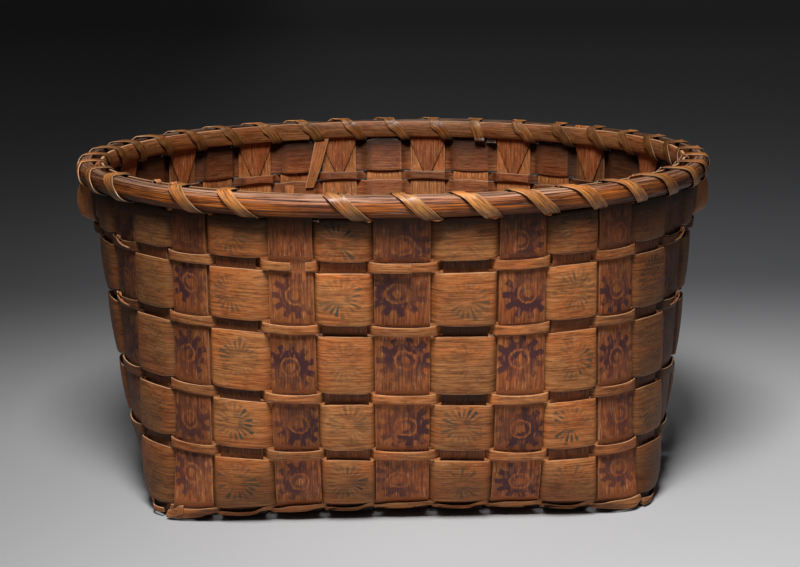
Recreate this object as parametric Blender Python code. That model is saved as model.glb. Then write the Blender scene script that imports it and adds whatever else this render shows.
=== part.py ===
"""Splint basket: a square plaited base that rises to a round mouth.

Eighteen wide splints cross in the base and turn up as the uprights of the wall. Wide and narrow
weavers go round them in turn, and two hoops hold the top edge, lashed on through the wall.
Metres, +Z up, front towards -Y, and the floor at z = 0. An upright has an index, 0 at the middle
of the front, that grows towards +X. A place on the wall is given by that index, a height, and a
distance out from the wall's middle surface.
"""

import math

import bmesh
import bpy
from mathutils import Matrix, Vector

# Splints and the spacing of the uprights
SPLINTS_EACH_WAY = 9
SPLINT_WIDTH = 0.026
SPLINT_THICKNESS = 0.0012
FOOT_GAP = 0.0058
CLEARANCE = 0.0003

# The base and the wall, whose corners take FOOT_CORNER uprights at SQUARE_HEIGHT and more above it
CORNER_TRIM = 0.0015
FOOT_HEIGHT = 0.0042
FOOT_LIFT = 0.0025
LIFT_FADE = 0.040
SQUARE_HEIGHT = 0.0030
FOOT_CORNER = 1
BEND_ANGLES = (0.0, math.radians(45))

# Weavers, from the foot up. A start is the upright at the back where a strip begins and ends. It
# moves on by START_STEP from row to row, and comes round again after so many rows
WEAVER_THICKNESS = 0.0010
TWINING_HEIGHT = 0.0030
NARROW_HEIGHT = 0.0056
WIDE_HEIGHTS = (0.0292, 0.0292, 0.0355, 0.0314, 0.0216)
OVERLAP = 2
BUTT_GAP = 0.001
WIDE_START = 14
WIDE_STARTS = 3
NARROW_START = 15
NARROW_STARTS = 2
START_STEP = 4
LOWER_TWINING_AT = 12
UPPER_TWINING_AT = 19
BINDER_START = 17

# Rim
LASHING_WIDTH = 0.0065
LASHING_THICKNESS = 0.0007
SLOT_PLAY = 0.0005
SLOT_HEIGHT = 0.0037
HOOP_HEIGHT = 0.0125
OUTER_HOOP_DEPTH = 0.0080
INNER_HOOP_DEPTH = 0.0032
INNER_HOOP_DROP = 0.0008
HOOP_FACE_ANGLES = (-50, 0, 50)
SCARF_STOPS = 5
SCARF_TIP_SHARE = 0.22
OUTER_HOOP_START = 15
INNER_HOOP_START = 20
BINDER_RISE = 0.0018
BINDER_HEIGHT = 0.0050
LASHING_TAIL = 0.012
LASHING_TAIL_STEP = 0.25
LASHING_OUTER_RUN = 0.62
LASHING_PLAY = 0.0004
LASHING_RUNS = (0.80, 0.50, 0.22)
LASHING_INNER_RUNS = (0.10, 0.90)
LASHING_TOP_DEPTH = 0.0020
LASHING_SLOT_DEPTH = 0.0040
LASHING_MOST_SLANT = 2.0
STATIONS_EACH_WRAP = 8
SKIPPED_GAPS = (-5, -2)

# Folded ends of the odd splints and the loops at the sides
TONGUE_TIP_SHARE = 0.06
SIDE_STRIP_WIDTH = 0.022
SIDE_STRIP_OVERHANG = 0.0044
SIDE_STRIP_TAIL = 0.003
SIDE_STRIP_ROUNDNESS = 0.6
SIDE_STRIP_ANGLES = (10, 30, 60, 90, 120, 150, 170)
SIDE_STRIP_UPRIGHTS = {"side_strip_right": 8, "side_strip_left": -8}

# Worked out from the sizes above
UPRIGHTS = 4 * SPLINTS_EACH_WAY
LAST_SPLINT = (SPLINTS_EACH_WAY - 1) // 2
FOOT_PITCH = SPLINT_WIDTH + FOOT_GAP
RIM_PITCH = SPLINT_WIDTH + LASHING_WIDTH + 2 * SLOT_PLAY
RIM_RADIUS = UPRIGHTS * RIM_PITCH / (2 * math.pi)
FLAT_HALF = LAST_SPLINT * FOOT_PITCH
SPLINT_END = FLAT_HALF + SPLINT_WIDTH / 2
BASE_LOW = SPLINT_THICKNESS / 2
BASE_HIGH = BASE_LOW + SPLINT_THICKNESS + CLEARANCE
STEP_OUT = SPLINT_THICKNESS / 2 + CLEARANCE + WEAVER_THICKNESS / 2
LAYER_STEP = WEAVER_THICKNESS + CLEARANCE
TONGUE_OUT = -(SPLINT_THICKNESS + CLEARANCE)
TUCK_STEP = STEP_OUT + SPLINT_THICKNESS + CLEARANCE

TWINING_BOTTOM = FOOT_HEIGHT + CLEARANCE
TWINING_MIDDLE = TWINING_BOTTOM + TWINING_HEIGHT + CLEARANCE
ROW_STEP = NARROW_HEIGHT + 2 * CLEARANCE
WIDE_BOTTOM = TWINING_MIDDLE + TWINING_HEIGHT + CLEARANCE
WEAVE_TOP = WIDE_BOTTOM + sum(WIDE_HEIGHTS) + ROW_STEP * (len(WIDE_HEIGHTS) - 1)
RIM_BOTTOM = WEAVE_TOP + SLOT_HEIGHT
RIM_TOP = RIM_BOTTOM + HOOP_HEIGHT
SLOT_MIDDLE = WEAVE_TOP + SLOT_HEIGHT / 2
BINDER_BOTTOM = RIM_BOTTOM + BINDER_RISE
BINDER_TOP = BINDER_BOTTOM + BINDER_HEIGHT
CUT_TOP = BINDER_TOP - CLEARANCE
FOLD_RADIUS = STEP_OUT

HOOP_INNER_FACE = 1.5 * SPLINT_THICKNESS + 2 * CLEARANCE
SIDE_STRIP_BULGE = HOOP_INNER_FACE + OUTER_HOOP_DEPTH + SIDE_STRIP_OVERHANG
INNER_HOOP_FACE = -(2 * FOLD_RADIUS + SPLINT_THICKNESS / 2 + CLEARANCE)
INNER_HOOP_BACK = INNER_HOOP_FACE - INNER_HOOP_DEPTH
LASHING_TAIL_OUT = INNER_HOOP_FACE - CLEARANCE - LASHING_THICKNESS / 2
FACET_SAG = RIM_RADIUS * (1 - math.cos(SPLINT_WIDTH / 2 / RIM_RADIUS))

BARK_BROWN = (0.185, 0.055, 0.013)
SPLINT_BROWN = (0.250, 0.075, 0.021)
WEAVER_OCHRE = (0.360, 0.140, 0.042)
LASHING_GOLD = (0.360, 0.155, 0.038)


def wall_share(height):
    """How far up the wall a height is, from its square foot to its round mouth."""
    share = (height - SQUARE_HEIGHT) / (RIM_BOTTOM - SQUARE_HEIGHT)
    return min(max(share, 0.0), 1.0)


def pitch_at(height):
    """Distance between neighbouring uprights."""
    return FOOT_PITCH + (RIM_PITCH - FOOT_PITCH) * wall_share(height)


def outline(u, height):
    """Level outline of the wall: a square whose corners take more uprights the higher it is.

    The corners grow fastest near the foot, and at the rim they meet in a circle.
    """
    pitch = pitch_at(height)
    corner = FOOT_CORNER + (SPLINTS_EACH_WAY - FOOT_CORNER) * math.sqrt(wall_share(height))
    straight = (SPLINTS_EACH_WAY - corner) / 2
    radius = 2 * corner * pitch / math.pi
    side = math.floor((u + SPLINTS_EACH_WAY / 2) / SPLINTS_EACH_WAY)
    along = u - side * SPLINTS_EACH_WAY
    turn = max(0.0, abs(along) - straight) / corner * math.pi / 2
    x = min(abs(along), straight) * pitch + radius * math.sin(turn)
    y = -straight * pitch - radius * math.cos(turn)
    return Matrix.Rotation(side * math.pi / 2, 2) @ Vector((math.copysign(x, along), y))


def wall_place(u, height):
    """Point of the wall's middle surface. The foot is lifted off the floor between the corners."""
    flat = outline(u, height)
    along = (u + SPLINTS_EACH_WAY / 2) % SPLINTS_EACH_WAY / SPLINTS_EACH_WAY
    arch = 4 * along * (1 - along)
    fade = max(0.0, 1 - height / LIFT_FADE) ** 2
    return Vector((flat.x, flat.y, height + FOOT_LIFT * arch * fade))


def half_upright(height):
    """Half the width of an upright, counted in uprights."""
    return SPLINT_WIDTH / 2 / pitch_at(height)


def outward(start, end):
    """Level direction out of the wall between two of its points."""
    along = end - start
    return Vector((along.y, -along.x, 0)).normalized()


def edge_frame(k, side, height):
    """Place of one long edge of upright k, and the mitred way out of the wall there."""
    half = half_upright(height)
    here = wall_place(k + side * half, height)
    across = outward(wall_place(k - half, height), wall_place(k + half, height))
    if side > 0:
        gap = outward(here, wall_place(k + 1 - half, height))
    else:
        gap = outward(wall_place(k - 1 + half, height), here)
    middle = (across + gap).normalized()
    return here, middle / middle.dot(across)


def on_wall(k, side, height, out):
    """Point on the flat facet of upright k, from side -1 to 1 across it."""
    left, left_way = edge_frame(k, -1, height)
    right, right_way = edge_frame(k, 1, height)
    return (left + left_way * out).lerp(right + right_way * out, (side + 1) / 2)


def around_wall(u, out, height):
    """Point at a distance out from the wall's smooth surface."""
    half = half_upright(height)
    way = outward(wall_place(u - half, height), wall_place(u + half, height))
    return wall_place(u, height) + way * out


def across_upright(k, share, height, out, lean=0.0):
    """Cross-section of a strip that runs up an upright; a negative share swaps its long edges."""
    corners = []
    for side, depth in ((-1, -0.5), (-1, 0.5), (1, 0.5), (1, -0.5)):
        up = depth * SPLINT_THICKNESS * math.sin(lean)
        off = depth * SPLINT_THICKNESS * math.cos(lean)
        corners.append(on_wall(k, side * share, height + up, out + off))
    return corners


def along_row(k, side, low, high, out):
    """Cross-section of a strip that runs round the wall."""
    near = out - WEAVER_THICKNESS / 2
    far = out + WEAVER_THICKNESS / 2
    return [
        on_wall(k, side, high, near),
        on_wall(k, side, high, far),
        on_wall(k, side, low, far),
        on_wall(k, side, low, near),
    ]


def material(name, color, roughness):
    """Plain wood finish of one piece."""
    made = bpy.data.materials.new(name)
    made.use_nodes = True
    shader = made.node_tree.nodes["Principled BSDF"]
    shader.inputs["Base Color"].default_value = (*color, 1)
    shader.inputs["Roughness"].default_value = roughness
    shader.inputs["Metallic"].default_value = 0
    return made


def loft(name, sections, color, roughness=0.6):
    """One closed solid through a run of cross-sections, with both ends capped.

    Each facet's diagonal leans the same way on the wall, so pieces that lie on a twisted facet
    keep their clearance all over it.
    """
    mesh = bmesh.new()
    rings = [[mesh.verts.new(point) for point in section] for section in sections]
    sides = len(rings[0])
    for before, after in zip(rings, rings[1:]):
        for i in range(sides):
            j = (i + 1) % sides
            if i < sides / 2:
                mesh.faces.new((before[i], before[j], after[i]))
                mesh.faces.new((before[j], after[j], after[i]))
            else:
                mesh.faces.new((before[i], before[j], after[j]))
                mesh.faces.new((before[i], after[j], after[i]))
    mesh.faces.new(rings[0][::-1])
    mesh.faces.new(rings[-1])
    bmesh.ops.recalc_face_normals(mesh, faces=mesh.faces)
    data = bpy.data.meshes.new(name)
    mesh.to_mesh(data)
    mesh.free()
    data.materials.append(material(name, color, roughness))
    made = bpy.data.objects.new(name, data)
    bpy.context.scene.collection.objects.link(made)
    return made


def base_section(splint, along, height, quarter):
    """Cross-section of a splint in the base, its outer face down."""
    limit = SPLINT_END - CORNER_TRIM
    corners = []
    for side, depth in ((-1, 0.5), (-1, -0.5), (1, -0.5), (1, 0.5)):
        x = splint * FOOT_PITCH + side * SPLINT_WIDTH / 2
        x = max(-limit, min(limit, x))
        corners.append(quarter @ Vector((x, along, height + depth * SPLINT_THICKNESS)))
    return corners


def bend_sections(splint, k, end, height, quarter):
    """Cross-sections where a splint turns up from the base into upright k, base end first."""
    sections = []
    for angle in BEND_ANGLES:
        corners = []
        for side, depth in ((-1, -0.5), (-1, 0.5), (1, 0.5), (1, -0.5)):
            foot, way = edge_frame(k, -side * end, FOOT_HEIGHT)
            start = base_section(splint, end * SPLINT_END, height, quarter)[0 if side < 0 else 3]
            start.z = height
            run = Vector((foot.x - start.x, foot.y - start.y, 0))
            radius = min(run.length, foot.z - height)
            place = foot - run.normalized() * radius * (1 - math.sin(angle))
            place.z = height + (foot.z - height) * (1 - math.cos(angle))
            face = way * math.sin(angle) - Vector((0, 0, 1)) * math.cos(angle)
            corners.append(place + face * depth * SPLINT_THICKNESS)
        sections.append(corners)
    return sections


def upright_sections(k, share):
    """Cross-sections of a splint's upright from its foot to its end."""
    heights = [FOOT_HEIGHT]
    for low, high in (*twining_rows(), *rows()[::2]):
        heights += [low, high]
    sections = [across_upright(k, share, height, 0) for height in (*heights, RIM_BOTTOM)]
    if k % 2 == 0:
        return [*sections, across_upright(k, share, CUT_TOP, 0)]
    for lean in (0, math.pi / 2, math.pi):
        height = BINDER_TOP + FOLD_RADIUS * math.sin(lean)
        out = FOLD_RADIUS * (math.cos(lean) - 1)
        sections.append(across_upright(k, share, height, out, lean))
    sections.append(across_upright(k, share, BINDER_BOTTOM, -2 * FOLD_RADIUS, math.pi))
    sections.append(across_upright(k, share, WEAVE_TOP, TONGUE_OUT, math.pi))
    tip = rows()[-2][1] + CLEARANCE
    sections.append(across_upright(k, share * TONGUE_TIP_SHARE, tip, TONGUE_OUT, math.pi))
    return sections


def make_splint(name, splint, turn):
    """One splint, up one wall, across the base and up the other wall."""
    quarter = Matrix.Rotation(turn * math.pi / 2, 3, "Z")
    first = splint + turn * SPLINTS_EACH_WAY
    second = 2 * SPLINTS_EACH_WAY - splint + turn * SPLINTS_EACH_WAY
    crossings = []
    for crossed in range(-LAST_SPLINT, LAST_SPLINT + 1):
        height = BASE_HIGH if (splint + crossed + turn) % 2 == 0 else BASE_LOW
        crossings.append((crossed * FOOT_PITCH, height))
    base = [
        base_section(splint, middle + side * SPLINT_WIDTH / 2, height, quarter)
        for middle, height in crossings
        for side in (-1, 1)
    ]
    sections = upright_sections(first, 1)[::-1]
    sections += bend_sections(splint, first, -1, crossings[0][1], quarter)[::-1]
    sections += base
    sections += bend_sections(splint, second, 1, crossings[-1][1], quarter)
    sections += upright_sections(second, -1)
    return loft(name, sections, SPLINT_BROWN)


def twining_rows():
    """Bottom and top of the two twining weavers."""
    return [(low, low + TWINING_HEIGHT) for low in (TWINING_BOTTOM, TWINING_MIDDLE)]


def rows():
    """Bottom and top of each weaver above the twining, wide and narrow in turn."""
    bottom = WIDE_BOTTOM
    made = []
    for height in WIDE_HEIGHTS:
        made.append((bottom, bottom + height))
        made.append((bottom + height + CLEARANCE, bottom + height + CLEARANCE + NARROW_HEIGHT))
        bottom += height + ROW_STEP
    return made[:-1]


def make_weaver(name, low, high, outside, start, overlap=OVERLAP, tuck=STEP_OUT, pushed=()):
    """A strip round the wall, outside the uprights whose index modulo 2 is given.

    Its ends lie one over the other from the inside pass at upright start. At the uprights in
    pushed it stands out further, over the lower end of a side strip.
    """
    stops = []
    last = start + UPRIGHTS + overlap
    for k in range(start, last + 1):
        under = overlap > 0 and k <= start + overlap
        over = overlap > 0 and k >= start + UPRIGHTS
        if k % 2 == outside:
            out = STEP_OUT + (LAYER_STEP if over else 0)
            out += SPLINT_THICKNESS + CLEARANCE if k % UPRIGHTS in pushed else 0
        else:
            out = -tuck - (LAYER_STEP if under else 0)
        stops += [(k, -1, out), (k, 1, out)]
    if not overlap:
        stops[0] = (start, BUTT_GAP / SPLINT_WIDTH, stops[0][2])
        stops[-1] = (last, -BUTT_GAP / SPLINT_WIDTH, stops[-1][2])
    sections = [along_row(k, side, low, high, out) for k, side, out in stops]
    return loft(name, sections, WEAVER_OCHRE)


def make_weavers():
    """The twined pair at the foot, the wide and narrow rows, and the binder under the hoops."""
    lower, upper = twining_rows()
    make_weaver("twining_lower", *lower, 1, LOWER_TWINING_AT)
    make_weaver("twining_upper", *upper, 0, UPPER_TWINING_AT)
    spans = rows()
    for i, (bottom, top) in enumerate(spans[::2]):
        make_weaver(f"wide_weaver_{i + 1}", bottom, top, 1, WIDE_START + START_STEP * (i % WIDE_STARTS))
    held = {k % UPRIGHTS for k in SIDE_STRIP_UPRIGHTS.values()}
    for i, (bottom, top) in enumerate(spans[1::2]):
        highest = i == len(WIDE_HEIGHTS) - 2
        make_weaver(
            f"narrow_weaver_{i + 1}",
            bottom,
            top,
            0,
            NARROW_START + START_STEP * (i % NARROW_STARTS),
            tuck=TUCK_STEP if highest else STEP_OUT,
            pushed=held if highest else (),
        )
    make_weaver("top_binder", BINDER_BOTTOM, BINDER_TOP, 0, BINDER_START, overlap=0)


def scarf_depth(stop, depth):
    """Depth of the inner end of a hoop's scarf, counted in stops from its tip."""
    tip = SCARF_TIP_SHARE * depth
    return tip + (depth - 2 * tip - CLEARANCE) * stop / SCARF_STOPS


def hoop_section(profile, stop):
    """The hoop's (out, height) points at a stop: whole, or one of the two ends of the scarf.

    The first and the last point of the profile are the corners of its flat face.
    """
    flat = profile[0].x
    depth = max(point.x for point in profile) - flat
    if stop <= SCARF_STOPS:
        share = scarf_depth(stop, depth) / depth
        return [Vector((flat + (point.x - flat) * share, point.y)) for point in profile]
    if stop < 2 * UPRIGHTS:
        return profile
    low = scarf_depth(stop - 2 * UPRIGHTS, depth) + CLEARANCE
    first = profile[0].lerp(profile[1], low / (profile[1].x - flat))
    last = profile[-1].lerp(profile[-2], low / (profile[-2].x - flat))
    return [first, *profile[1:-1], last]


def make_hoop(name, profile, start, color):
    """A hoop round the rim, whose ends taper past each other from upright start."""
    sections = []
    for stop in range(2 * UPRIGHTS + SCARF_STOPS + 1):
        k = start + stop // 2
        side = 2 * (stop % 2) - 1
        section = hoop_section(profile, stop)
        sections.append([on_wall(k, side, point.y, point.x) for point in section])
    return loft(name, sections, color)


def hoop_face(degrees, grown=0.0):
    """Point (out, height) of the outer hoop's rounded face, 0 degrees at its middle."""
    angle = math.radians(degrees)
    out = HOOP_INNER_FACE + OUTER_HOOP_DEPTH * math.sqrt(math.cos(angle)) + grown * math.cos(angle)
    height = (RIM_BOTTOM + RIM_TOP) / 2 + (HOOP_HEIGHT / 2 + grown) * math.sin(angle)
    return out, height


def make_hoops():
    """The half-round outer hoop and the flat inner one."""
    rounded = [hoop_face(degrees) for degrees in HOOP_FACE_ANGLES]
    outer = [(HOOP_INNER_FACE, RIM_BOTTOM), *rounded, (HOOP_INNER_FACE, RIM_TOP)]
    make_hoop("outer_hoop", [Vector(point) for point in outer], OUTER_HOOP_START, BARK_BROWN)
    top = RIM_TOP - INNER_HOOP_DROP
    inner = [
        (INNER_HOOP_BACK, RIM_BOTTOM),
        (INNER_HOOP_FACE, RIM_BOTTOM),
        (INNER_HOOP_FACE, top),
        (INNER_HOOP_BACK, top),
    ]
    make_hoop("inner_hoop", [Vector(point) for point in inner], INNER_HOOP_START, SPLINT_BROWN)


def wrap_stations(before, slot):
    """One wrap of the lashing, as (upright coordinate, out, height) points.

    It goes from the gap before, up inside the inner hoop, over the rim, and slanting down
    outside to the next slot.
    """
    off = CLEARANCE + LASHING_THICKNESS / 2
    top = slot - LASHING_OUTER_RUN
    inside = INNER_HOOP_BACK - FACET_SAG - off
    low, high = (before + run * (top - before) for run in LASHING_INNER_RUNS)
    stations = [
        (low, inside, RIM_BOTTOM - off),
        (high, inside, RIM_TOP - INNER_HOOP_DROP + off),
        (top, HOOP_INNER_FACE + LASHING_TOP_DEPTH, RIM_TOP + off),
    ]
    for run, degrees in zip(LASHING_RUNS, HOOP_FACE_ANGLES[::-1]):
        u = slot - run * LASHING_OUTER_RUN
        stations.append((u, *hoop_face(degrees, off + LASHING_PLAY)))
    stations.append((slot, HOOP_INNER_FACE + LASHING_SLOT_DEPTH, SLOT_MIDDLE))
    return stations


def lashing_section(before, here, after):
    """Cross-section of the lashing at a station, level along the rim and facing off the hoops."""
    step_out = after[1] - before[1]
    step_up = after[2] - before[2]
    run = math.hypot(step_out, step_up)
    slant = math.hypot(run, (after[0] - before[0]) * RIM_PITCH) / run
    half = min(slant, LASHING_MOST_SLANT) * LASHING_WIDTH / 2 / RIM_PITCH
    u, out, height = here
    corners = []
    for side, depth in ((-1, -0.5), (-1, 0.5), (1, 0.5), (1, -0.5)):
        step = depth * LASHING_THICKNESS / run
        corners.append(around_wall(u + side * half, out - step * step_up, height + step * step_out))
    return corners


def least_gap(sections):
    """Least distance between a lashing's own wraps, measured between their corner points."""
    points = [sum(section, Vector()) / len(section) for section in sections]
    apart = STATIONS_EACH_WRAP - 3
    least = math.inf
    for i, first in enumerate(sections):
        for j in range(i + apart, len(sections)):
            if (points[i] - points[j]).length < 4 * LASHING_WIDTH:
                least = min(least, *((a - b).length for a in first for b in sections[j]))
    return least


def make_lashing(name, start, slots):
    """One lashing strip, from a tail inside the wall to a tail inside the wall."""
    low = WEAVE_TOP - LASHING_TAIL
    stations = [
        (start, LASHING_TAIL_OUT, low),
        (start, LASHING_TAIL_OUT, SLOT_MIDDLE - 2 * LASHING_THICKNESS),
        (start, INNER_HOOP_BACK - CLEARANCE, SLOT_MIDDLE),
    ]
    before = start
    for slot in slots:
        stations += wrap_stations(before, slot)
        stations.append((slot, INNER_HOOP_FACE, SLOT_MIDDLE))
        before = slot
    stations.append((before, LASHING_TAIL_OUT + LASHING_THICKNESS, SLOT_MIDDLE))
    stations.append((before, LASHING_TAIL_OUT, low))
    first = stations[0]
    last = stations[-1]
    padded = [first, *stations, last]
    sections = [lashing_section(*padded[i : i + 3]) for i in range(len(stations))]
    print(f"{name}: least gap to itself {1000 * least_gap(sections):.1f} mm")
    return loft(name, sections, LASHING_GOLD)


def make_lashings():
    """Two lashing strips with a wrap in every gap but the skipped ones, and half the wraps each."""
    first = max(SKIPPED_GAPS) + 1
    skipped = {gap % UPRIGHTS for gap in SKIPPED_GAPS}
    gaps = [k for k in range(first, first + UPRIGHTS) if k % UPRIGHTS not in skipped]
    slots = [k + 0.5 for k in gaps]
    half = len(slots) // 2
    make_lashing("lashing_right", slots[0] - 1, slots[:half])
    make_lashing("lashing_left", slots[half - 1] + LASHING_TAIL_STEP, slots[half:])


def make_side_strip(name, k):
    """A strip whose ends are tucked under the outer hoop and the highest narrow weaver."""
    tuck = SPLINT_THICKNESS + CLEARANCE
    low, high = rows()[-2]
    middle = (high + RIM_BOTTOM) / 2
    half = (RIM_BOTTOM - high) / 2 - 2 * SPLINT_THICKNESS
    route = [(tuck, BINDER_BOTTOM - CLEARANCE), (tuck, RIM_BOTTOM - SPLINT_THICKNESS)]
    for degrees in SIDE_STRIP_ANGLES:
        angle = math.radians(degrees)
        out = tuck + (SIDE_STRIP_BULGE - tuck) * math.sin(angle) ** SIDE_STRIP_ROUNDNESS
        route.append((out, middle + half * math.cos(angle)))
    route += [(tuck, high + SPLINT_THICKNESS), (tuck, low - SIDE_STRIP_TAIL)]
    padded = [route[0], *route, route[-1]]
    share = SIDE_STRIP_WIDTH / SPLINT_WIDTH
    sections = []
    for i, (out, height) in enumerate(route):
        before, after = padded[i], padded[i + 2]
        lean = math.atan2(after[0] - before[0], before[1] - after[1])
        sections.append(across_upright(k, share, height, out, lean))
    return loft(name, sections, WEAVER_OCHRE)


def main():
    """Clears the scene and makes every piece."""
    for old in list(bpy.data.objects):
        bpy.data.objects.remove(old)
    for i in range(SPLINTS_EACH_WAY):
        make_splint(f"splint_front_back_{i + 1}", i - LAST_SPLINT, 0)
        make_splint(f"splint_left_right_{i + 1}", i - LAST_SPLINT, 1)
    make_weavers()
    make_hoops()
    make_lashings()
    for name, k in SIDE_STRIP_UPRIGHTS.items():
        make_side_strip(name, k)


main()
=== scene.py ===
"""Looks of the splint basket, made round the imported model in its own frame, in metres.

Every strip of the basket is made again here as a thin ribbon on the wall's curved surface, with
the swell, the worn edges and the uneven cut of hand-split wood. A place on the wall is given as
in the part: an upright's index, a height, and a distance out from the wall's middle surface.
"""

import math

import bpy
import numpy as np
from mathutils import Matrix, Vector


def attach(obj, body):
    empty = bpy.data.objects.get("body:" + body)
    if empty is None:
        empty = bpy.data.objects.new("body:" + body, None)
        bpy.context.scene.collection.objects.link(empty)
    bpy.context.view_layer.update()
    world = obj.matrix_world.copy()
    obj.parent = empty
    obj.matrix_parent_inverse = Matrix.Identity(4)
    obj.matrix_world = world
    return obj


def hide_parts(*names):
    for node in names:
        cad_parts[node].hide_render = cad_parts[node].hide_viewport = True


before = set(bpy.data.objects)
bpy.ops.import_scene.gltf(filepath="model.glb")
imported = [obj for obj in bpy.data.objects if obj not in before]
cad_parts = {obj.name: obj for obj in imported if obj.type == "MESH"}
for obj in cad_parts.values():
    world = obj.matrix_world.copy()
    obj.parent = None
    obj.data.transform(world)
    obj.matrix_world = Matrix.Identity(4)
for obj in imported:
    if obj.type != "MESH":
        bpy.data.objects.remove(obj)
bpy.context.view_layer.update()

# Sizes of the part
SPLINTS_EACH_WAY = 9
UPRIGHTS = 4 * SPLINTS_EACH_WAY
LAST_SPLINT = (SPLINTS_EACH_WAY - 1) // 2
SPLINT_WIDTH = 0.026
SPLINT_THICKNESS = 0.0012
WEAVER_THICKNESS = 0.0010
CLEARANCE = 0.0003
FOOT_PITCH = 0.0318
RIM_PITCH = 0.0335
FLAT_HALF = LAST_SPLINT * FOOT_PITCH
SPLINT_END = FLAT_HALF + SPLINT_WIDTH / 2
CORNER_TRIM = 0.0015
BASE_LOW = SPLINT_THICKNESS / 2
BASE_HIGH = BASE_LOW + SPLINT_THICKNESS + CLEARANCE
FOOT_HEIGHT = 0.0042
FOOT_LIFT = 0.0045
LIFT_FADE = 0.040
SQUARE_HEIGHT = 0.0030
FOOT_CORNER = 1
ROW_TILT = 0.0042
TWINING_HEIGHT = 0.0030
NARROW_HEIGHT = 0.0056
WIDE_HEIGHTS = (0.0292, 0.0292, 0.0355, 0.0314, 0.0216)
OVERLAP = 2
STEP_OUT = SPLINT_THICKNESS / 2 + CLEARANCE + WEAVER_THICKNESS / 2
LAYER_STEP = WEAVER_THICKNESS + CLEARANCE
TONGUE_OUT = -(SPLINT_THICKNESS + CLEARANCE)
TUCK_STEP = STEP_OUT + SPLINT_THICKNESS + CLEARANCE

TWINING_BOTTOM = FOOT_HEIGHT + CLEARANCE
WIDE_BOTTOM = TWINING_BOTTOM + 2 * (TWINING_HEIGHT + CLEARANCE)
WEAVE_TOP = WIDE_BOTTOM + sum(WIDE_HEIGHTS) + 4 * (NARROW_HEIGHT + 2 * CLEARANCE)
RIM_BOTTOM = WEAVE_TOP + 0.0037
HOOP_HEIGHT = 0.0125
RIM_TOP = RIM_BOTTOM + HOOP_HEIGHT
RIM_MIDDLE = RIM_BOTTOM + HOOP_HEIGHT / 2
SLOT_MIDDLE = (WEAVE_TOP + RIM_BOTTOM) / 2
BINDER_BOTTOM = RIM_BOTTOM + 0.0018
BINDER_TOP = BINDER_BOTTOM + 0.0050
CUT_TOP = BINDER_TOP - CLEARANCE
FOLD_RADIUS = STEP_OUT

HOOP_INNER_FACE = 1.5 * SPLINT_THICKNESS + 2 * CLEARANCE
OUTER_HOOP_DEPTH = 0.0080
INNER_HOOP_FACE = -(2 * FOLD_RADIUS + SPLINT_THICKNESS / 2 + CLEARANCE)
INNER_HOOP_BACK = INNER_HOOP_FACE - 0.0032
INNER_HOOP_TOP = RIM_TOP - 0.0008
LASHING_THICKNESS = 0.0007
LASHING_OUTER_RUN = 0.62
LASHING_OFF = CLEARANCE + LASHING_THICKNESS / 2
LASHING_TAIL_OUT = INNER_HOOP_FACE - LASHING_OFF
SKIPPED_GAPS = (-5, -2)
SIDE_STRIP_WIDTH = 0.022
SIDE_STRIP_BULGE = 0.0148
SIDE_STRIP_UPRIGHTS = {"side_strip_right": 8, "side_strip_left": -8}

# How far the hand-cut strips stray from those sizes
FRONT_UPRIGHTS = {
    -6: ((-0.0010, 1.05), (0.0025, 1.05)),
    -5: ((0.0000, 1.00), (0.0022, 1.00)),
    -4: ((0.0013, 1.03), (0.0001, 1.00)),
    -2: ((0.0012, 1.02), (0.0011, 1.00)),
    -1: ((-0.0010, 0.98), (-0.0025, 0.98)),
    0: ((-0.0021, 1.18), (-0.0024, 1.22)),
    2: ((0.0005, 1.08), (0.0005, 1.09)),
    4: ((0.0012, 1.12), (-0.0003, 1.05)),
    5: ((0.0000, 1.00), (-0.0014, 1.00)),
    6: ((0.0045, 1.12), (0.0015, 1.12)),
}
UPRIGHT_STRAY = 0.0008
UPRIGHT_WIDTH_STRAY = 0.03
UPRIGHT_SWELL = 0.0004
UPRIGHT_CAMBER = 0.0004
UPRIGHT_RECESS = 0.0006
# Painted shadow on the odd uprights where they are recessed behind the narrow rows, darker at the listed
# uprights from a height up
RECESS_SHADE = 0.2
DARK_RECESSES = {-3: 0.35, 1: 0.65}
DARK_RECESS_FROM = 0.045
WIDE_SWELL = 0.0015
WIDE_CAMBER = 0.0006
WIDE_SAG = 0.0004
WIDE_PINCH = 0.0006
WIDE_LOWEST = 0.0083
WIDE_HIGHEST = RIM_BOTTOM - 0.0003
NARROW_SWELL = 0.0014
NARROW_SAG = 0.0009
NARROW_SPREAD = 0.0004
INSIDE_SWELL = 0.0003
EDGE_STRAY = 0.0005
EDGE_THINNING = 0.6
RISE_PACE = 1.5

# How many stations each stretch of a strip has
PASS_STATIONS = 21
INSIDE_STATIONS = 7
UPRIGHT_STATIONS = 75
FOLD_STATIONS = 9
TONGUE_STATIONS = 18
BASE_STATIONS = 109


def smooth(share):
    """Eased share from 0 to 1."""
    share = np.clip(share, 0, 1)
    return share * share * (3 - 2 * share)


def stacked(*parts):
    """Numbers and arrays brought to one shape and joined along a new last axis."""
    return np.stack(np.broadcast_arrays(*parts), -1)


def spread(count):
    """Places from -1 to 1, which lie closer together towards both ends."""
    return np.sin(np.linspace(-math.pi / 2, math.pi / 2, count))


def draws(seed, low, high, shape):
    """Random numbers, the same on every run."""
    return np.random.default_rng(seed).uniform(low, high, shape)


def wander(seed, knots, reach):
    """Smooth random function of a place from 0 to 1, which closes on itself."""
    values = draws(seed, -reach, reach, knots)

    def at(place):
        place = np.asarray(place) % 1.0 * knots
        low = np.floor(place).astype(int)
        share = smooth(place - low)
        return values[low % knots] * (1 - share) + values[(low + 1) % knots] * share

    return at


def from_front(u):
    """A place round the wall, counted in uprights from the middle of the front."""
    return (u + UPRIGHTS // 2) % UPRIGHTS - UPRIGHTS // 2


# The wall's surface


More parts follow.
